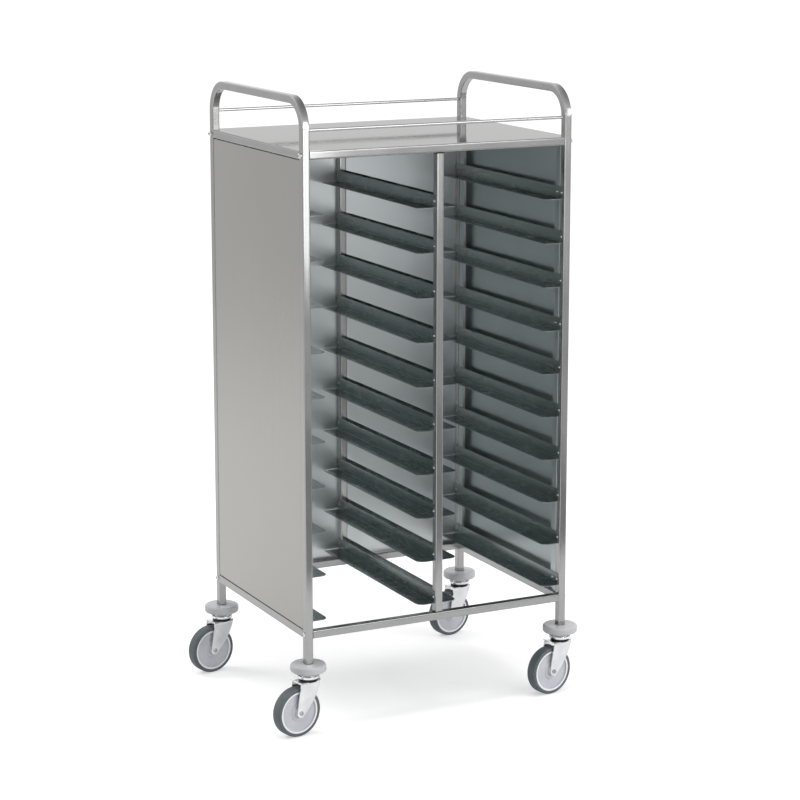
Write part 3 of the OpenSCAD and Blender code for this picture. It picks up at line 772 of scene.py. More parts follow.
def block(low, high):
    """Rectangular plate between two corners."""
    (x0, y0, z0), (x1, y1, z1) = low, high
    line = np.array([[x0, y0], [x1, y0]], float)
    back = np.array([[x0, y1], [x1, y1]], float)
    return folded(line, back, z0, z1, (0, 1, 2))


# %% [markdown]
# ### Deck
#
# The deck is one sheet, notched at the corners where the posts pass. Its outline at two heights
# makes a wall, and the two open rims are then filled. The waves in its reflections come from
# the material.

# %% Deck
notch = tube + 0.3


def deck():
    """Wall of quads between the outline at the lower and at the upper face's height."""
    x0, x1 = half_w - notch, half_w
    y0, y1 = half_d - notch, half_d
    corner = np.array([[x1, y0], [x0, y0], [x0, y1]])
    outline = np.concatenate([
        corner, corner[::-1] * [-1, 1], corner * [-1, -1], corner[::-1] * [1, -1]])
    levels = [np.insert(outline, 2, z, axis=1) for z in (deck_low[2], deck_high[2])]
    return grid(np.stack(levels), close_columns=True)


make_piece("deck_sheet", deck(), "cart", ["deck"], DECK, bevel=0.25)

# %% [markdown]
# ### Side and rear panels
#
# Each side panel is a shallow pan: a face, four folded sides, and a strip beside each post
# that the rivets hold. Seen from outside it is a plain face with a thin shadow line all round,
# seen from inside it shows the folds. The rear panel is a flat sheet behind the posts.

# %% Panels
panel_sheet = 1.0
return_w = 24
return_relief = 8
fold_r = 1.8
seam = 2.0


def side_panel(node, side):
    """C-shaped section carried up; on the strips the ends slope by the relief.

    The two walls lean in by the seam's width, so that a dark line shows beside each post.
    """
    low, high = box_mm(node)
    z0, z1 = low[2] + seam / 2, high[2] - seam / 2
    face = min(abs(low[0] - middle_x), abs(high[0] - middle_x))
    back = max(abs(low[0] - middle_x), abs(high[0] - middle_x))
    half = high[1]
    strip = half - return_w
    lines = []
    for skin in (0, panel_sheet):
        edge = half - skin
        corners = [(face + skin, -strip), (face + skin, -edge), (back - skin, seam - edge),
                   (back - skin, edge - seam), (face + skin, edge), (face + skin, strip)]
        lines.append(rounded_line(corners, [0] + [fold_r - skin] * 4 + [0]) * [side, 1])
    on_strip = np.abs(lines[0][:, 0]) < face + 0.01
    slope = np.where(on_strip, (half - np.abs(lines[0][:, 1])) / return_w, 0) * return_relief
    shell = folded(lines[0], lines[1], z0 + slope, z1 - slope, (0, 1, 2))
    x0, x1 = sorted((side * face, side * (back - panel_sheet)))
    y = half - panel_sheet - seam - 0.1
    caps = [block((x0, -y, z), (x1, y, z + panel_sheet)) for z in (z0, z1 - panel_sheet)]
    return join([shell, *caps])


for side, name in ((-1, "left"), (1, "right")):
    make_piece(f"{name}_pan", side_panel(f"{name}_panel", side), "cart", [f"{name}_panel"], PANEL,
               bevel=0.3)
rear_low, rear_high = box_mm("rear_panel")
rear_shift = np.array([middle_x, 0, 0])
make_piece("rear_sheet", block(rear_low - rear_shift, rear_high - rear_shift), "cart", ["rear_panel"],
           REAR_PANEL, bevel=0.3)

# %% [markdown]
# ### Tray runners
#
# A runner is an angle: an upright web riveted to the posts and a flange that the tray slides
# on. The flange's open corner at the front is cut round, so that a tray finds its way in. All
# forty are the same, mirrored left and right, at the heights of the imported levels.

# %% Runners
runner_l = 2 * (half_d - 6)
web_h = 30
flange_w = 45
flange_corner_r = 20
runner_fold_r = 2.2


def runner(sheet_t):
    """Section from the web's top round the fold to the flange's edge, carried along Y.

    At the rounded corner u = w - r + r sin t, and the front edge is at -l / 2 + r - r cos t.
    """
    turn = np.linspace(0, math.pi / 2, 9)
    edge = flange_w - flange_corner_r + flange_corner_r * np.sin(turn)
    lines = []
    for skin in (0, sheet_t):
        fold = rounded_line([(skin, web_h), (skin, skin - sheet_t), (edge[0], skin - sheet_t)],
                            [0, runner_fold_r - skin, 0])[:-1]
        flange = np.stack([edge, np.full(len(edge), skin - sheet_t)], -1)
        lines.append(np.concatenate([fold, flange]))
    cut = np.zeros(len(lines[0]))
    cut[-len(turn):] = flange_corner_r * (1 - np.cos(turn))
    return folded(lines[0], lines[1], cut - runner_l / 2, runner_l / 2, (0, 2, 1))


MIRROR_X = np.diag([-1.0, 1, 1])
level_count = 10
for level in range(1, level_count + 1):
    node = f"tray_runners_{level}"
    low, high = box_mm(node)
    sheet_t = high[2] - low[2] - web_h
    one = runner(sheet_t)
    height = high[2] - web_h
    wall = moved(one, (-inner_x, 0, height))
    divider = moved(one, (-tube / 2, 0, height), MIRROR_X)
    half_level = join([wall, divider])
    make_piece(f"level_{level}_runners", join([half_level, moved(half_level, turn=MIRROR_X)]),
               "cart", [node], RUNNER_PAINTED_SHADE, bevel=0.2)

# %% [markdown]
# ## Rods, bolts and rivets
#
# The two guard rods are turned shapes laid on their side. A bolt head is a turned dome whose
# inner rings change from a circle to a hexagon, which makes the socket. Rivets are many and
# small, so each has only a few dozen faces.

# %% Directions that a turned shape can face
TO_X = np.array([[0.0, 0, 1], [1, 0, 0], [0, 1, 0]])
TO_MINUS_X = TO_X * [[-1], [-1], [1]]
TO_Y = np.array([[1.0, 0, 0], [0, 0, 1], [0, -1, 0]])
TO_MINUS_Y = np.array([[1.0, 0, 0], [0, 0, -1], [0, 1, 0]])
DOWN = np.diag([1.0, -1, -1])

# %% Guard rods


def rod(node):
    """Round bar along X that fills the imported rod's box."""
    low, high = box_mm(node)
    radius = (high[2] - low[2]) / 2
    half = (high[0] - low[0]) / 2
    profile = [(0, -half), (radius, -half), (radius, half), (0, half)]
    return moved(turned(profile, 32), (0, (low[1] + high[1]) / 2, (low[2] + high[2]) / 2), TO_X)


for place in ("front", "rear"):
    node = f"{place}_guard_rail"
    make_piece(f"{place}_rod", rod(node), "cart", [node], ROD)

# %% Socket-headed bolts


def hexagon(across_flats, steps, round_r=1e9):
    """Radius of a hexagon by angle: half its width over the cosine of the angle to the nearest
    flat's middle, and never more than the radius to which its corners are rounded."""
    angle = np.linspace(0, 2 * math.pi, steps, endpoint=False)
    from_flat = angle % (math.pi / 3) - math.pi / 6
    return np.minimum(across_flats / 2 / np.cos(from_flat), round_r)


def socket_bolt(head_d, head_h, shank_d, shank_l):
    """Shank, underside, dome of circular section, and a hexagon socket sunk in its top.

    On the dome r = head_r cos e and z = rim + (h - rim) sin e, so it leaves the rim upright.
    """
    steps = 48
    socket = shank_d * 0.6
    rim = head_h * 0.18
    flat = hexagon(socket, steps).max() + 0.35
    lift = np.linspace(0, math.acos(flat / (head_d / 2)), 8)
    dome = [(head_d / 2 * math.cos(e), rim + (head_h - rim) * math.sin(e)) for e in lift]
    top = dome[-1][1]
    hexed = hexagon(socket, steps)
    profile = [(0, -shank_l), (shank_d / 2 - 0.6, -shank_l), (shank_d / 2, 0.6 - shank_l),
               (shank_d / 2, 0), (head_d / 2 - 0.3, 0), (head_d / 2, 0.3), *dome,
               (hexed + 0.12, top), (hexed, top - 0.15), (hexed, top - head_h * 0.5),
               (0, top - head_h * 0.55)]
    return turned(profile, steps)


frame_head_d, low_head_h, high_head_h = 14, 4.4, 7.5
frame_shank_l = tube + 22
bottom_z = np.mean([b[2] for b in box_mm("front_bottom_rail")])
top_z = np.mean([b[2] for b in box_mm("front_top_rail")])
frame_bolts = [
    moved(socket_bolt(frame_head_d, head_h, 8, frame_shank_l), (side * half_w, s * post_y, z), turn)
    for side, turn in ((-1, TO_MINUS_X), (1, TO_X))
    for s in (-1, 1)
    for z, head_h in ((bottom_z, low_head_h), (top_z, high_head_h))
]
make_piece("frame_bolt_set", join(frame_bolts), "cart", ["frame_bolts"], BOLT)

post_head_d, post_head_h = 11, 3.3
bolt_grip = 18.5
low_face = bottom_z - tube / 2
top_face = top_z - tube / 2 + tube_wall
post_bolts = [
    moved(socket_bolt(post_head_d, post_head_h, 6, length), (0, s * post_y, z), turn)
    for s in (-1, 1)
    for z, length, turn in ((low_face, tube + bolt_grip, DOWN),
                            (top_face, tube_wall + bolt_grip, np.eye(3)))
]
make_piece("centre_bolt_set", join(post_bolts), "cart", ["middle_post_bolts"], BOLT)

# %% Blind rivets
rivet_head_d, rivet_head_h, rivet_d = 7, 1.6, 4


def rivet(grip):
    """Dome with the small round pit that the pulled pin leaves, over a plain shank."""
    pit = rivet_d * 0.3
    profile = [(0, -grip), (rivet_d / 2, -grip), (rivet_d / 2, 0), (rivet_head_d / 2, 0),
               (rivet_head_d * 0.36, rivet_head_h * 0.75), (pit + 0.3, rivet_head_h),
               (pit, rivet_head_h * 0.5), (0, rivet_head_h * 0.5)]
    return turned(profile, 10)


panel_rivet_levels = (1, 7, 10)
panel_rivet_y = inner_y - return_w / 2
rear_rivet_rows = 5


def runner_rivets():
    """On each runner, at both posts; on some levels of the side walls also at the panel strips."""
    found = []
    for level in range(1, level_count + 1):
        low, high = box_mm(f"tray_runners_{level}")
        sheet_t = high[2] - low[2] - web_h
        z = high[2] - web_h / 2
        for side, turn, back in ((-1, TO_X, TO_MINUS_X), (1, TO_MINUS_X, TO_X)):
            ys = [-post_y, post_y]
            wall_ys = ys + [-panel_rivet_y, panel_rivet_y] * (level in panel_rivet_levels)
            one = rivet(sheet_t + tube_wall)
            found += [moved(one, (side * (inner_x - sheet_t), y, z), turn) for y in wall_ys]
            found += [moved(one, (side * (tube / 2 + sheet_t), y, z), back) for y in ys]
    return found


def rear_rivets():
    """Up the three rear posts, in rows at equal heights."""
    share = (np.arange(rear_rivet_rows) + 0.5) / rear_rivet_rows
    heights = rear_low[2] + share * (rear_high[2] - rear_low[2])
    one = rivet(panel_sheet + tube_wall)
    return [moved(one, (x, rear_high[1], z), TO_Y) for x in (-post_x, 0, post_x) for z in heights]


# The rivets' lighter tone is a painted highlight.
make_piece("rivet_set", join(runner_rivets() + rear_rivets()), "cart", ["blind_rivets"], RIVET_PAINTED_HIGHLIGHT,
           sharp=50)

# %% [markdown]
# ## Castors
#
# Each castor has a fixed head, a fork that swivels under it, a wheel with a tyre, and an axle.
# They are alike, so each piece is made once, about its own swivel axis with the trail towards
# minus X, and then turned and set at each leg. The turn and the trail are read from the packed
# model's joints and boxes.

# %% Where the castors stand
corners = [f"{fore}_{side}" for fore in ("front", "rear") for side in ("left", "right")]
joints = {joint["name"]: joint for joint in frame["joints"]}
roll_axis = joints["front_left_roll"]["axis"]
rest_turn = math.atan2(-roll_axis[0], roll_axis[1])


def leg_at(corner):
    """Middle of a leg in plan, from its bumper."""
    low, high = box_mm(f"{corner}_bumper")
    return (low[0] + high[0]) / 2 - middle_x, (low[1] + high[1]) / 2


bumper_low, bumper_high = box_mm("front_left_bumper")
tyre_low, tyre_high = box_mm("front_left_tyre")
leg_x, leg_y = leg_at("front_left")
wheel_centre = (tyre_low + tyre_high) / 2
wheel_r = (tyre_high[2] - tyre_low[2]) / 2
trail = math.hypot(wheel_centre[0] - middle_x - leg_x, wheel_centre[1] - leg_y)
cos_t, sin_t = math.cos(rest_turn), math.sin(rest_turn)
AT_REST = np.array([[cos_t, -sin_t, 0], [sin_t, cos_t, 0], [0, 0, 1]])
print("castors turned", round(math.degrees(rest_turn), 2), "trail", round(trail, 2), "wheel", wheel_r)


def on_axle(surface):
    """A shape turned about Z, laid about the axle: its top faces the front."""
    return moved(surface, (-trail, 0, wheel_r), TO_MINUS_Y)


def at_castor(surface, corner):
    """A castor piece made about its swivel axis, turned and set at its leg."""
    x, y = leg_at(corner)
    return moved(surface, (x, y, 0), AT_REST)


# %% [markdown]
# ### Bumpers
#
# A bumper is a thick plastic disc with rounded edges, clamped between leg and castor. The leg
# stands in a square pocket in its top. The rings of the turned shape change from circles to
# the pocket's rounded square and back.

# %% Bumper discs
bumper_edge_r = 6
pocket_h = 3
pocket_side = tube + 0.6
pocket_edge_r = tube_edge_r + 0.3
stem_hole_r = 6.2


def rounded_square_radius(side, edge_r, steps):
    """Radius of a rounded square by angle. Fold the angle into one eighth; there the ray meets
    the flat side at half / cos, or further on the corner's circle, at d + sqrt(d^2 - c^2 + r^2)
    where c is the distance to the circle's middle and d its share along the ray."""
    angle = np.linspace(0, 2 * math.pi, steps, endpoint=False)
    folded_angle = np.abs((angle + math.pi / 4) % (math.pi / 2) - math.pi / 4)
    half, middle = side / 2, side / 2 - edge_r
    flat = half / np.cos(folded_angle)
    along = middle * (np.cos(folded_angle) + np.sin(folded_angle))
    corner = along + np.sqrt(np.maximum(along ** 2 - 2 * middle ** 2 + edge_r ** 2, 0))
    return np.where(flat * np.sin(folded_angle) <= middle, flat, corner)


def bumper():
    """Closed ring of profiles: underside, round rim, top, square pocket, floor and stem hole."""
    steps = 96
    low, high = bumper_low[2], bumper_high[2]
    radius = (bumper_high[0] - bumper_low[0]) / 2
    rim = rounded_line([(20, low), (radius, low), (radius, high), (22, high)],
                       [0, bumper_edge_r, bumper_edge_r, 0], 10)
    pocket = rounded_square_radius(pocket_side, pocket_edge_r, steps)
    profile = [(stem_hole_r, low), *rim, (pocket + 0.5, high), (pocket + 0.15, high - 0.15),
               (pocket, high - 0.5), (pocket, high - pocket_h), (stem_hole_r, high - pocket_h)]
    return turned(profile, steps, closed=True)


for corner in corners:
    x, y = leg_at(corner)
    make_piece(f"{corner}_bumper_disc", moved(bumper(), (x, y, 0)), "cart", [f"{corner}_bumper"],
               BUMPER, sharp=45)

# %% [markdown]
# ### Castor heads
#
# The head is a pressed dish over the swivel's balls, with a narrow waist above it and the stem
# that goes up into the leg. All of it is one turned profile, from the riveted end of the swivel
# pin at the bottom to the stem's top. Small radii on its corners catch the light.

# %% Heads
head_low, head_high = box_mm("front_left_castor_head")


def castor_head():
    """Radii and heights up from the pin's riveted end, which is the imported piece's lowest point."""
    base = head_low[2]
    race, face, top = base + 12.1, base + 16.5, bumper_low[2]
    profile = rounded_line(
        [(0, base), (12, base), (12, base + 3.2), (8, base + 3.2), (8, face), (25, face),
         (25, race), (28, race), (28, face + 2.2), (18.5, face + 4), (18.5, top - 2),
         (21, top - 0.6), (21, top), (6, top), (6, head_high[2]), (0, head_high[2])],
        [0, 1, 0.6, 0, 0.5, 1.5, 0.6, 1.2, 2, 2.2, 0.8, 0.3, 0.2, 0, 1, 0], 5)
    return turned(profile, 72)


for corner in corners:
    x, y = leg_at(corner)
    make_piece(f"{corner}_head", moved(castor_head(), (x, y, 0)), "cart",
               [f"{corner}_castor_head"], PLATED)

# %% [markdown]
# ### Forks
#
# A fork is one strip of thick sheet bent into an upside-down U. We walk along the U from one
# leg's round end, up, over the crown and down the other leg. At each step the strip has a back
# edge and a front edge: a straight line behind and a bowed curve in front. The rows in between
# let us press a shallow bead along the back edge, as the real leg has. A short lip at the back
# of the crown is a second small sheet. The ring on top carries the balls. It is black as painted
# shade, which makes the dark gap under the dish.

# %% Fork
fork_inner, fork_outer = 19.0, 22.0
crown_low, crown_high = 136.0, 139.0
crown_bend_r = 6.0
crown_r = 30.0
crown_back = 34.0
leg_end_r = 11.0
leg_bow = 10.0


def fork_front(y, z):
    """Front edge of the strip: the end's circle, then a curve with one pull point, then the
    crown's circle x = sqrt(R^2 - y^2)."""
    tangent = leg_end_r * math.sqrt(0.5)
    low = np.array([tangent - trail, wheel_r - tangent])
    high = np.array([math.sqrt(crown_r ** 2 - fork_outer ** 2), crown_low - leg_end_r / 2])
    pull = (low + high) / 2 + [leg_bow, -leg_bow / 2]
    t = np.linspace(0, 1, 60)[:, None]
    curve = (1 - t) ** 2 * low + 2 * t * (1 - t) * pull + t ** 2 * high
    end = -trail + np.sqrt(np.maximum(leg_end_r ** 2 - (z - wheel_r) ** 2, 0))
    leg = np.interp(z, curve[:, 1], curve[:, 0])
    crown = np.sqrt(np.maximum(crown_r ** 2 - y ** 2, 0))
    return np.where(z < low[1], end, np.where(z < high[1], leg, crown))


def fork_back(z):
    """Back edge: the end's circle up to the axle's height, then a straight line to the crown."""
    end = -trail - np.sqrt(np.maximum(leg_end_r ** 2 - (z - wheel_r) ** 2, 0))
    line = np.interp(z, [wheel_r, crown_high + 1], [-trail - leg_end_r, -crown_back])
    return np.where(z < wheel_r, end, line)


def fork_line(half, top, bend):
    """The U seen along the trail, up the front leg and down the rear one, as (y, z) points."""
    turn = np.linspace(0.06, math.pi / 2, 10)
    end = wheel_r - leg_end_r * np.cos(turn)
    leg = np.linspace(wheel_r + 6, crown_high - crown_bend_r - 1, 13)
    rise = np.concatenate([end, leg])
    up = np.stack([np.full(len(rise), -half), rise], -1)
    over = rounded_line([(-half, rise[-1]), (-half, top), (0, top)], [0, bend, 0], 8)[1:-1]
    crown = np.stack([np.linspace(over[-1, 0], 0, 7)[1:], np.full(6, top)], -1)
    left = np.concatenate([up, over, crown])
    return np.concatenate([left, left[-2::-1] * [-1, 1]])


def fork_strip():
    """Rows from back edge to front edge; near the back edge the sheet leans in by up to 1.4 mm."""
    outer = fork_line(fork_outer, crown_high, crown_bend_r)
    inner = fork_line(fork_inner, crown_low, crown_bend_r - fork_outer + fork_inner)
    back, front = fork_back(outer[:, 1]), fork_front(outer[:, 0], outer[:, 1])
    share = np.array([0, 0.05, 0.14, 0.2, 0.27, 0.5, 0.75, 0.93, 1])[:, None]
    lean = np.array([1.4, 1.3, 0.9, 0.3, 0, 0, 0, 0.1, 0.4])[:, None]
    width = np.clip((front - back) / (2 * leg_end_r), 0, 1)
    surfaces = []
    for line in (outer, inner):
        y, z = line.T
        on_leg = np.clip((crown_low - 4 - outer[:, 1]) / 12, 0, 1) * width
        points = np.stack([
            back + share * (front - back), y - np.sign(y) * lean * on_leg, z + 0 * share], -1)
        surfaces.append(points)
    return sheet(*surfaces)


def fork_lip():
    """Beak behind the crown: it bends up by 6 mm, and its corners are rounded in plan."""
    t = np.linspace(0, 1, 14)[:, None]
    half = 16 - 5 * (1 - np.sqrt(1 - np.clip((t - 0.6) / 0.4, 0, 1) ** 2 * 0.96))
    x = -crown_back + 5 - 17 * t
    rise = 6 * np.clip((t - 0.22) / 0.78, 0, 1) ** 1.25
    across = np.linspace(-1, 1, 9)
    layers = [np.stack([x + 0 * across, half * across, z + rise + 0 * across], -1)
              for z in (crown_high - 0.02, crown_low + 0.02)]
    return sheet(*layers)


def fork_race():
    """Ring on the crown that the balls run on."""
    low, high = crown_low + 0.5, crown_high + 4.6
    profile = rounded_line([(8.1, low), (24, low), (24, high), (8.1, high)], [0, 0, 1.6, 0.3],
                           5, closed=True)
    return turned(profile, 64, closed=True)


for corner in corners:
    body = f"{corner}_fork"
    make_piece(f"{corner}_fork_body", at_castor(join([fork_strip(), fork_lip()]), corner), body,
               [body], PLATED, bevel=0.5)
    # The race ring's black is painted shade.
    make_piece(f"{corner}_race", at_castor(fork_race(), corner), body, [body], RACE_PAINTED_SHADE)

# %% [markdown]
# ### Axles
#
# An axle bolt goes through both fork legs and the hub. In front shows its low round head with
# a socket, behind it a nut whose corners are chamfered, as nuts are.

# %% Axle bolts
axle_d = 8.0


def axle():
    """Bolt from the thread's end to the head, and a nut as a closed ring of hexagons."""
    steps = 48
    face = fork_outer
    nut_h = axle_d * 0.75
    tail = face + nut_h + 1.5
    socket = hexagon(4.0, steps)
    bolt = [(0, -tail), (axle_d / 2 - 0.8, -tail), (axle_d / 2, 0.8 - tail), (axle_d / 2, face),
            (5.7, face), (6, face + 0.3), (6, face + 1.3), (5.5, face + 2.2), (4.4, face + 2.7),
            (2.9, face + 2.8), (socket + 0.1, face + 2.75), (socket, face + 2.6),
            (socket, face + 0.9), (0, face + 0.8)]
    flats = axle_d * 1.6
    edge = hexagon(flats, steps, flats / 2 * 1.03)
    full = hexagon(flats, steps, axle_d * 0.92)
    nut = [(axle_d / 2, -face), (edge, -face), (full, -face - 0.5), (full, 0.9 - face - nut_h),
           (edge, -face - nut_h), (axle_d / 2, -face - nut_h)]
    return join([turned(bolt, steps), turned(nut, steps, closed=True)])


for corner in corners:
    make_piece(f"{corner}_axle_bolt", at_castor(on_axle(axle()), corner), f"{corner}_fork",
               [f"{corner}_axle"], AXLE)

# %% [markdown]
# ### Wheels and tyres
#
# The wheel is one moulding: a hub, a slightly dished disc and a raised ring at the edge. The
# tyre is a rubber band round it, with full shoulders and a tread that is a little higher in the
# middle. Both are closed turned profiles. The ring looks paler than the disc, because it is
# rubbed bright. The distance along the profile, which is in the UV map, says where the ring is.

# %% Wheels
rim_r = wheel_r - 9.0


def mirrored_profile(half, radii):
    """Corners on the upper side, then the same ones below in reverse order."""
    half = np.array(half, float)
    return np.concatenate([half, half[::-1] * [1, -1]]), list(radii) + list(radii)[::-1]


wheel_line = rounded_line(*mirrored_profile(
    [(4.1, 17), (13.2, 17), (14.2, 13), (21, 13), (23, 11), (46.8, 9.8), (48.9, 14), (rim_r, 14)],
    [0.3, 1.2, 1.0, 1.0, 1.5, 2.0, 0.8, 0.3]), 6, closed=True)


def wheel():
    """Hub end, boss, dished disc, and the ring at the rim."""
    return turned(wheel_line, 112, closed=True)


def bright_ring(material, line, colour):
    """Lighter tone where the distance along the profile is on either side's ring."""
    ring_inner_r, ring_floor = 48, 12.5
    distance = steps_along(line) * MM
    on_ring = np.flatnonzero((line[:, 0] > ring_inner_r) & (line[:, 1] > ring_floor))
    start, end = float(distance[on_ring[0]]), float(distance[on_ring[-1]])
    middle, half = (start + end) / 2, (end - start) / 2
    tree = material.node_tree
    split = tree.nodes.new("ShaderNodeSeparateXYZ")
    link(tree, distance_vector(tree), split.inputs[0])
    mask = 0.0
    for ring in (middle, float(distance[-1]) - middle):
        offset = add_math(tree, "SUBTRACT", split.outputs["X"], ring)
        inside = add_math(tree, "LESS_THAN", add_math(tree, "ABSOLUTE", offset, 0.0), half)
        mask = add_math(tree, "MAXIMUM", inside, mask)
    base = tree.nodes["Principled BSDF"].inputs["Base Color"]
    mix_in(tree, mask, base, "RGBA", (*colour, 1))
    return start, end


print("ring between", bright_ring(wheel_plastic, wheel_line, (0.80, 0.81, 0.84)))


def tyre():
    """Flat inside on the rim, round shoulders and a crowned tread."""
    corners = [(rim_r, 15), (wheel_r - 0.35, 15), (wheel_r, 0), (wheel_r - 0.35, -15), (rim_r, -15)]
    line = rounded_line(corners, [0.6, 4.6, 150, 4.6, 0.6], 9, closed=True)
    return turned(line, 128, closed=True)


for corner in corners:
    body = f"{corner}_wheel"
    make_piece(f"{corner}_wheel_disc", at_castor(on_axle(wheel()), corner), body, [body], WHEEL)
    make_piece(f"{corner}_tyre_band", at_castor(on_axle(tyre()), corner), body,
               [f"{corner}_tyre"], TYRE)

# %% [markdown]
# ## Pieces that stay as they are
#
# Plugs, threaded inserts and swivel balls are simple shapes, and little of them shows. The
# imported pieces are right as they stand, so they only get a finish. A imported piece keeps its
# mesh, and the finish goes into its material slots.

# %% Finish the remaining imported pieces


def finish_node(node, material):
    """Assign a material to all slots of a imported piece."""
    slots = frame["nodes"][node].material_slots
    for slot in slots:
        slot.material = material
    return len(slots)


hidden_parts = {
    "middle_post_plugs": black_steel_and_painted_shade,
    "rail_end_inserts": black_steel_and_painted_shade,
    "leg_inserts": black_steel_and_painted_shade,
    "swivel_balls": ball_steel,
}
for node, material in hidden_parts.items():
    print(node, "slots:", finish_node(node, material))

# %% [markdown]
# ## Floor, world, light and camera
#
# The background is white without any extra light on the cart. The world shows white to rays
# from the camera and to reflections, and a plain grey level to everything else. The floor adds
# a glow to its own shading for the same rays, less of it close to the cart, so it is white far
# off and still takes the shadow near the wheels. Reflections get under half of that glow: a
# picture stops at white, but a mirror would show a floor that is brighter than white.

# %% World
WORLD_LEVEL = 0.62
floor_z = cad_box[0][2]


def seen_directly(tree, in_mirror=1.0):
    """1 for rays from the camera, in_mirror for reflections and transmission, 0 for the rest."""
    path = tree.nodes.new("ShaderNodeLightPath")
    mirror = add_math(tree, "MAXIMUM", path.outputs["Is Glossy Ray"],
                      path.outputs["Is Transmission Ray"])
    mirror = add_math(tree, "MULTIPLY", mirror, in_mirror)
    return add_math(tree, "MAXIMUM", path.outputs["Is Camera Ray"], mirror)


def make_world():
    """White to the camera and to reflections, and a plain level as light."""
    world = bpy.data.worlds.new("Studio")
    world.use_nodes = True
    tree = world.node_tree
    tree.nodes.clear()
    backgrounds = []
    for strength in (WORLD_LEVEL, 1.0):
        node = tree.nodes.new("ShaderNodeBackground")
        node.inputs["Color"].default_value = (1, 1, 1, 1)
        node.inputs["Strength"].default_value = strength
        backgrounds.append(node.outputs[0])
    mix = tree.nodes.new("ShaderNodeMixShader")
    link(tree, seen_directly(tree), mix.inputs[0])
    link(tree, backgrounds[0], mix.inputs[1])
    link(tree, backgrounds[1], mix.inputs[2])
    link(tree, mix.outputs[0], tree.nodes.new("ShaderNodeOutputWorld").inputs["Surface"])
    bpy.context.scene.world = world


def falloff(tree, near, far, near_value, far_value):
    """Value that runs from one level to another with the distance from the object's middle."""
    length = add_vector_math(tree, "LENGTH", [object_vector(tree)], "Value")
    return map_range(tree, length, near, far, near_value, far_value)


def make_floor():
    """Pale floor: its own shading plus a glow that grows with the distance from the cart."""
    size, in_mirror = 60.0, 0.45
    mesh = bpy.data.meshes.new("floor")
    corners_xy = [(-size, -size), (size, -size), (size, size), (-size, size)]
    mesh.from_pydata([(x, y, floor_z) for x, y in corners_xy], [], [(0, 1, 2, 3)])
    floor = bpy.data.objects.new("floor", mesh)
    bpy.context.scene.collection.objects.link(floor)
    material = bpy.data.materials.new("Pale floor")
    material.use_nodes = True
    tree = material.node_tree
    tree.nodes.clear()
    diffuse = tree.nodes.new("ShaderNodeBsdfDiffuse")
    diffuse.inputs["Color"].default_value = (0.7, 0.7, 0.7, 1)
    glow = tree.nodes.new("ShaderNodeEmission")
    strength = add_math(tree, "MULTIPLY", seen_directly(tree, in_mirror),
                        falloff(tree, 1.0, 4.5, 0.45, 0.66))
    link(tree, strength, glow.inputs["Strength"])
    both = tree.nodes.new("ShaderNodeAddShader")
    link(tree, diffuse.outputs[0], both.inputs[0])
    link(tree, glow.outputs[0], both.inputs[1])
    link(tree, both.outputs[0], tree.nodes.new("ShaderNodeOutputMaterial").inputs["Surface"])
    mesh.materials.append(material)


make_world()
make_floor()

# %% [markdown]
# ### Lamps
#
# Soft boxes are area lamps: their size makes the shadows soft. Polished steel shows each lamp
# as a white patch with hard edges, so only the two in front are mirrored. They draw the white
# upper ends of the front posts and run up into the bends of the handles. The key behind on the
# left, the one on the right and the one overhead light the floor and the matt surfaces only.

# %% Lamps


def face(holder, place, aim):
    """Put an object at a place and turn its minus Z towards a point."""
    direction = np.array(aim, float) - np.array(place, float)
    flat = math.hypot(direction[0], direction[1])
    yaw = math.atan2(direction[1], direction[0]) - math.pi / 2 if flat > 1e-6 else 0
    holder.location = place
    holder.rotation_euler = (math.atan2(flat, -direction[2]), 0, yaw)


def soft_box(name, place, aim, width, height, watts, mirrored=True):
    """Rectangular area lamp. One that isn't mirrored lights matt surfaces only."""
    lamp = bpy.data.lights.new(name, "AREA")
    lamp.shape = "RECTANGLE"
    lamp.size, lamp.size_y = width, height
    lamp.energy = watts
    holder = bpy.data.objects.new(name, lamp)
    bpy.context.scene.collection.objects.link(holder)
    holder.visible_camera = False
    holder.visible_glossy = mirrored
    face(holder, place, aim)


cart_middle, key_place = (0, 0, 0.9), (-2.4, 2.4, 3.8)
soft_box("key", key_place, cart_middle, 2.2, 2.2, 80, mirrored=False)
soft_box("front", (0.92, -4.0, 1.25), (-0.2, 0, 1.25), 0.9, 1.0, 10)
soft_box("high front", (1.5, -4.2, 2.65), (-0.2, 0, 2.0), 2.0, 1.5, 30)
soft_box("right", (3.2, -2.9, 1.75), cart_middle, 2.4, 2.4, 70, mirrored=False)
soft_box("top", (0.1, -0.5, 3.9), cart_middle, 2.4, 1.0, 50, mirrored=False)

# %% [markdown]
# ### Cards round the cart
#
# Polished steel is seen only by what it reflects. In an all-white room it would look like
# chalk. A photographer sets grey and black cards outside the picture, and their reflections
# draw the metal. Only reflections can see these cards: they throw no shadow and no light. The
# large ones change their level from the middle outwards, so that no edge shows in the bends. One
# stands at the key's place, for a soft highlight. They stay where they are, so every other view
# meets the same room.

# %% Reflection cards


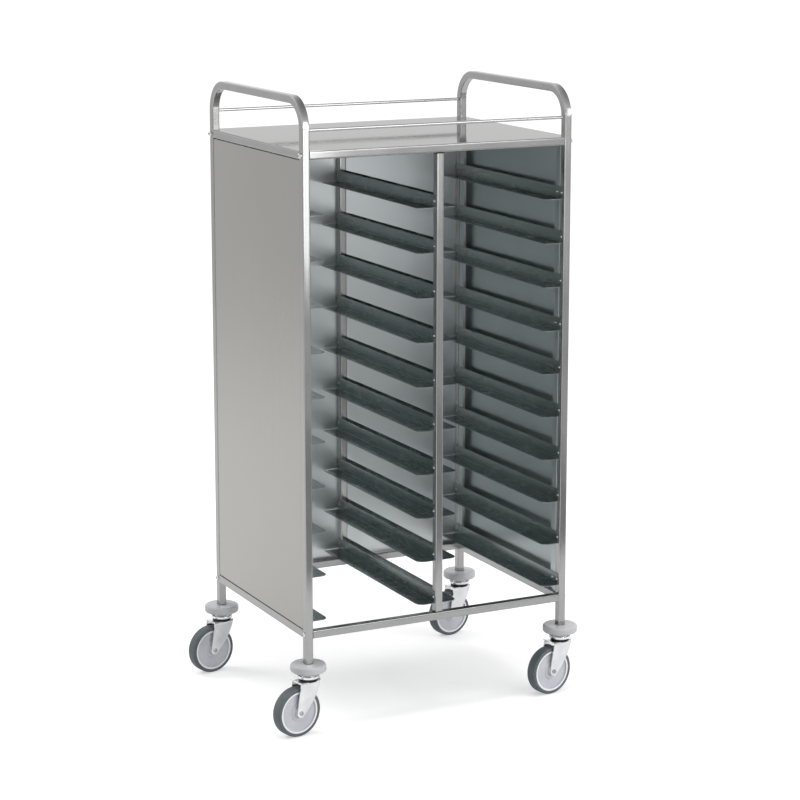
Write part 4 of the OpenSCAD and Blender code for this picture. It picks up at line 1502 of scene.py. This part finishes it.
def card(name, place, aim, width, height, level):
    """Upright or lying card, seen only in reflections. Its level is a number or a falloff."""
    mesh = bpy.data.meshes.new(name)
    w, h = width / 2, height / 2
    mesh.from_pydata([(-w, -h, 0), (w, -h, 0), (w, h, 0), (-w, h, 0)], [], [(0, 1, 2, 3)])
    board = bpy.data.objects.new(name, mesh)
    bpy.context.scene.collection.objects.link(board)
    face(board, place, aim)
    material = bpy.data.materials.new(name)
    material.use_nodes = True
    tree = material.node_tree
    tree.nodes.clear()
    glow = tree.nodes.new("ShaderNodeEmission")
    strength = falloff(tree, *level) if isinstance(level, tuple) else level
    link(tree, strength, glow.inputs["Strength"])
    link(tree, glow.outputs[0], tree.nodes.new("ShaderNodeOutputMaterial").inputs["Surface"])
    mesh.materials.append(material)
    board.visible_camera = False
    board.visible_diffuse = False
    board.visible_transmission = False
    board.visible_shadow = False


lying = floor_z + 0.001
card("low card", (3.3, -3.5, 0.35), (0.6, 0, 0.35), 5.4, 0.7, 0.60)
card("near floor card", (0.95, -2.95, lying), (0.95, -2.95, 5), 1.9, 2.9, 0.36)
card("side floor card", (2.75, -2.95, lying), (2.75, -2.95, 5), 1.7, 2.9, 0.75)
card("camera side card", (-3.9, -7.0, 2.0), (0, 0, 1.2), 7, 4.0, (0.5, 3.8, 0.18, 0.9))
card("ceiling card", (0, 0, 4.6), (0, 0, 0), 12, 12, (0.8, 6.0, 0.34, 1.0))
card("key card", key_place, cart_middle, 3.2, 3.2, (0.2, 1.6, 2.2, 1.0))

# %% [markdown]
# The camera stands to the left and well above the deck, with a long lens that keeps the posts
# nearly parallel. A small vertical shift frames the cart with less tilt.

# %% Camera
camera_place = (-2754.5, -5563.7, 2108.4)
camera_yaw, camera_pitch = 0.4646, 0.1947
lens_mm = 110.15
vertical_shift = -0.06
camera_data = bpy.data.cameras.new("camera")
camera_data.lens = lens_mm
camera_data.sensor_width = 36
camera_data.shift_y = vertical_shift
camera_data.clip_end = 200
camera = bpy.data.objects.new("camera", camera_data)
camera.location = [(v + m) * MM for v, m in zip(camera_place, (middle_x, 0, 0))]
camera.rotation_euler = (math.pi / 2 - camera_pitch, 0, -camera_yaw)
bpy.context.scene.collection.objects.link(camera)
bpy.context.scene.camera = camera
bpy.context.scene.view_settings.view_transform = "Standard"
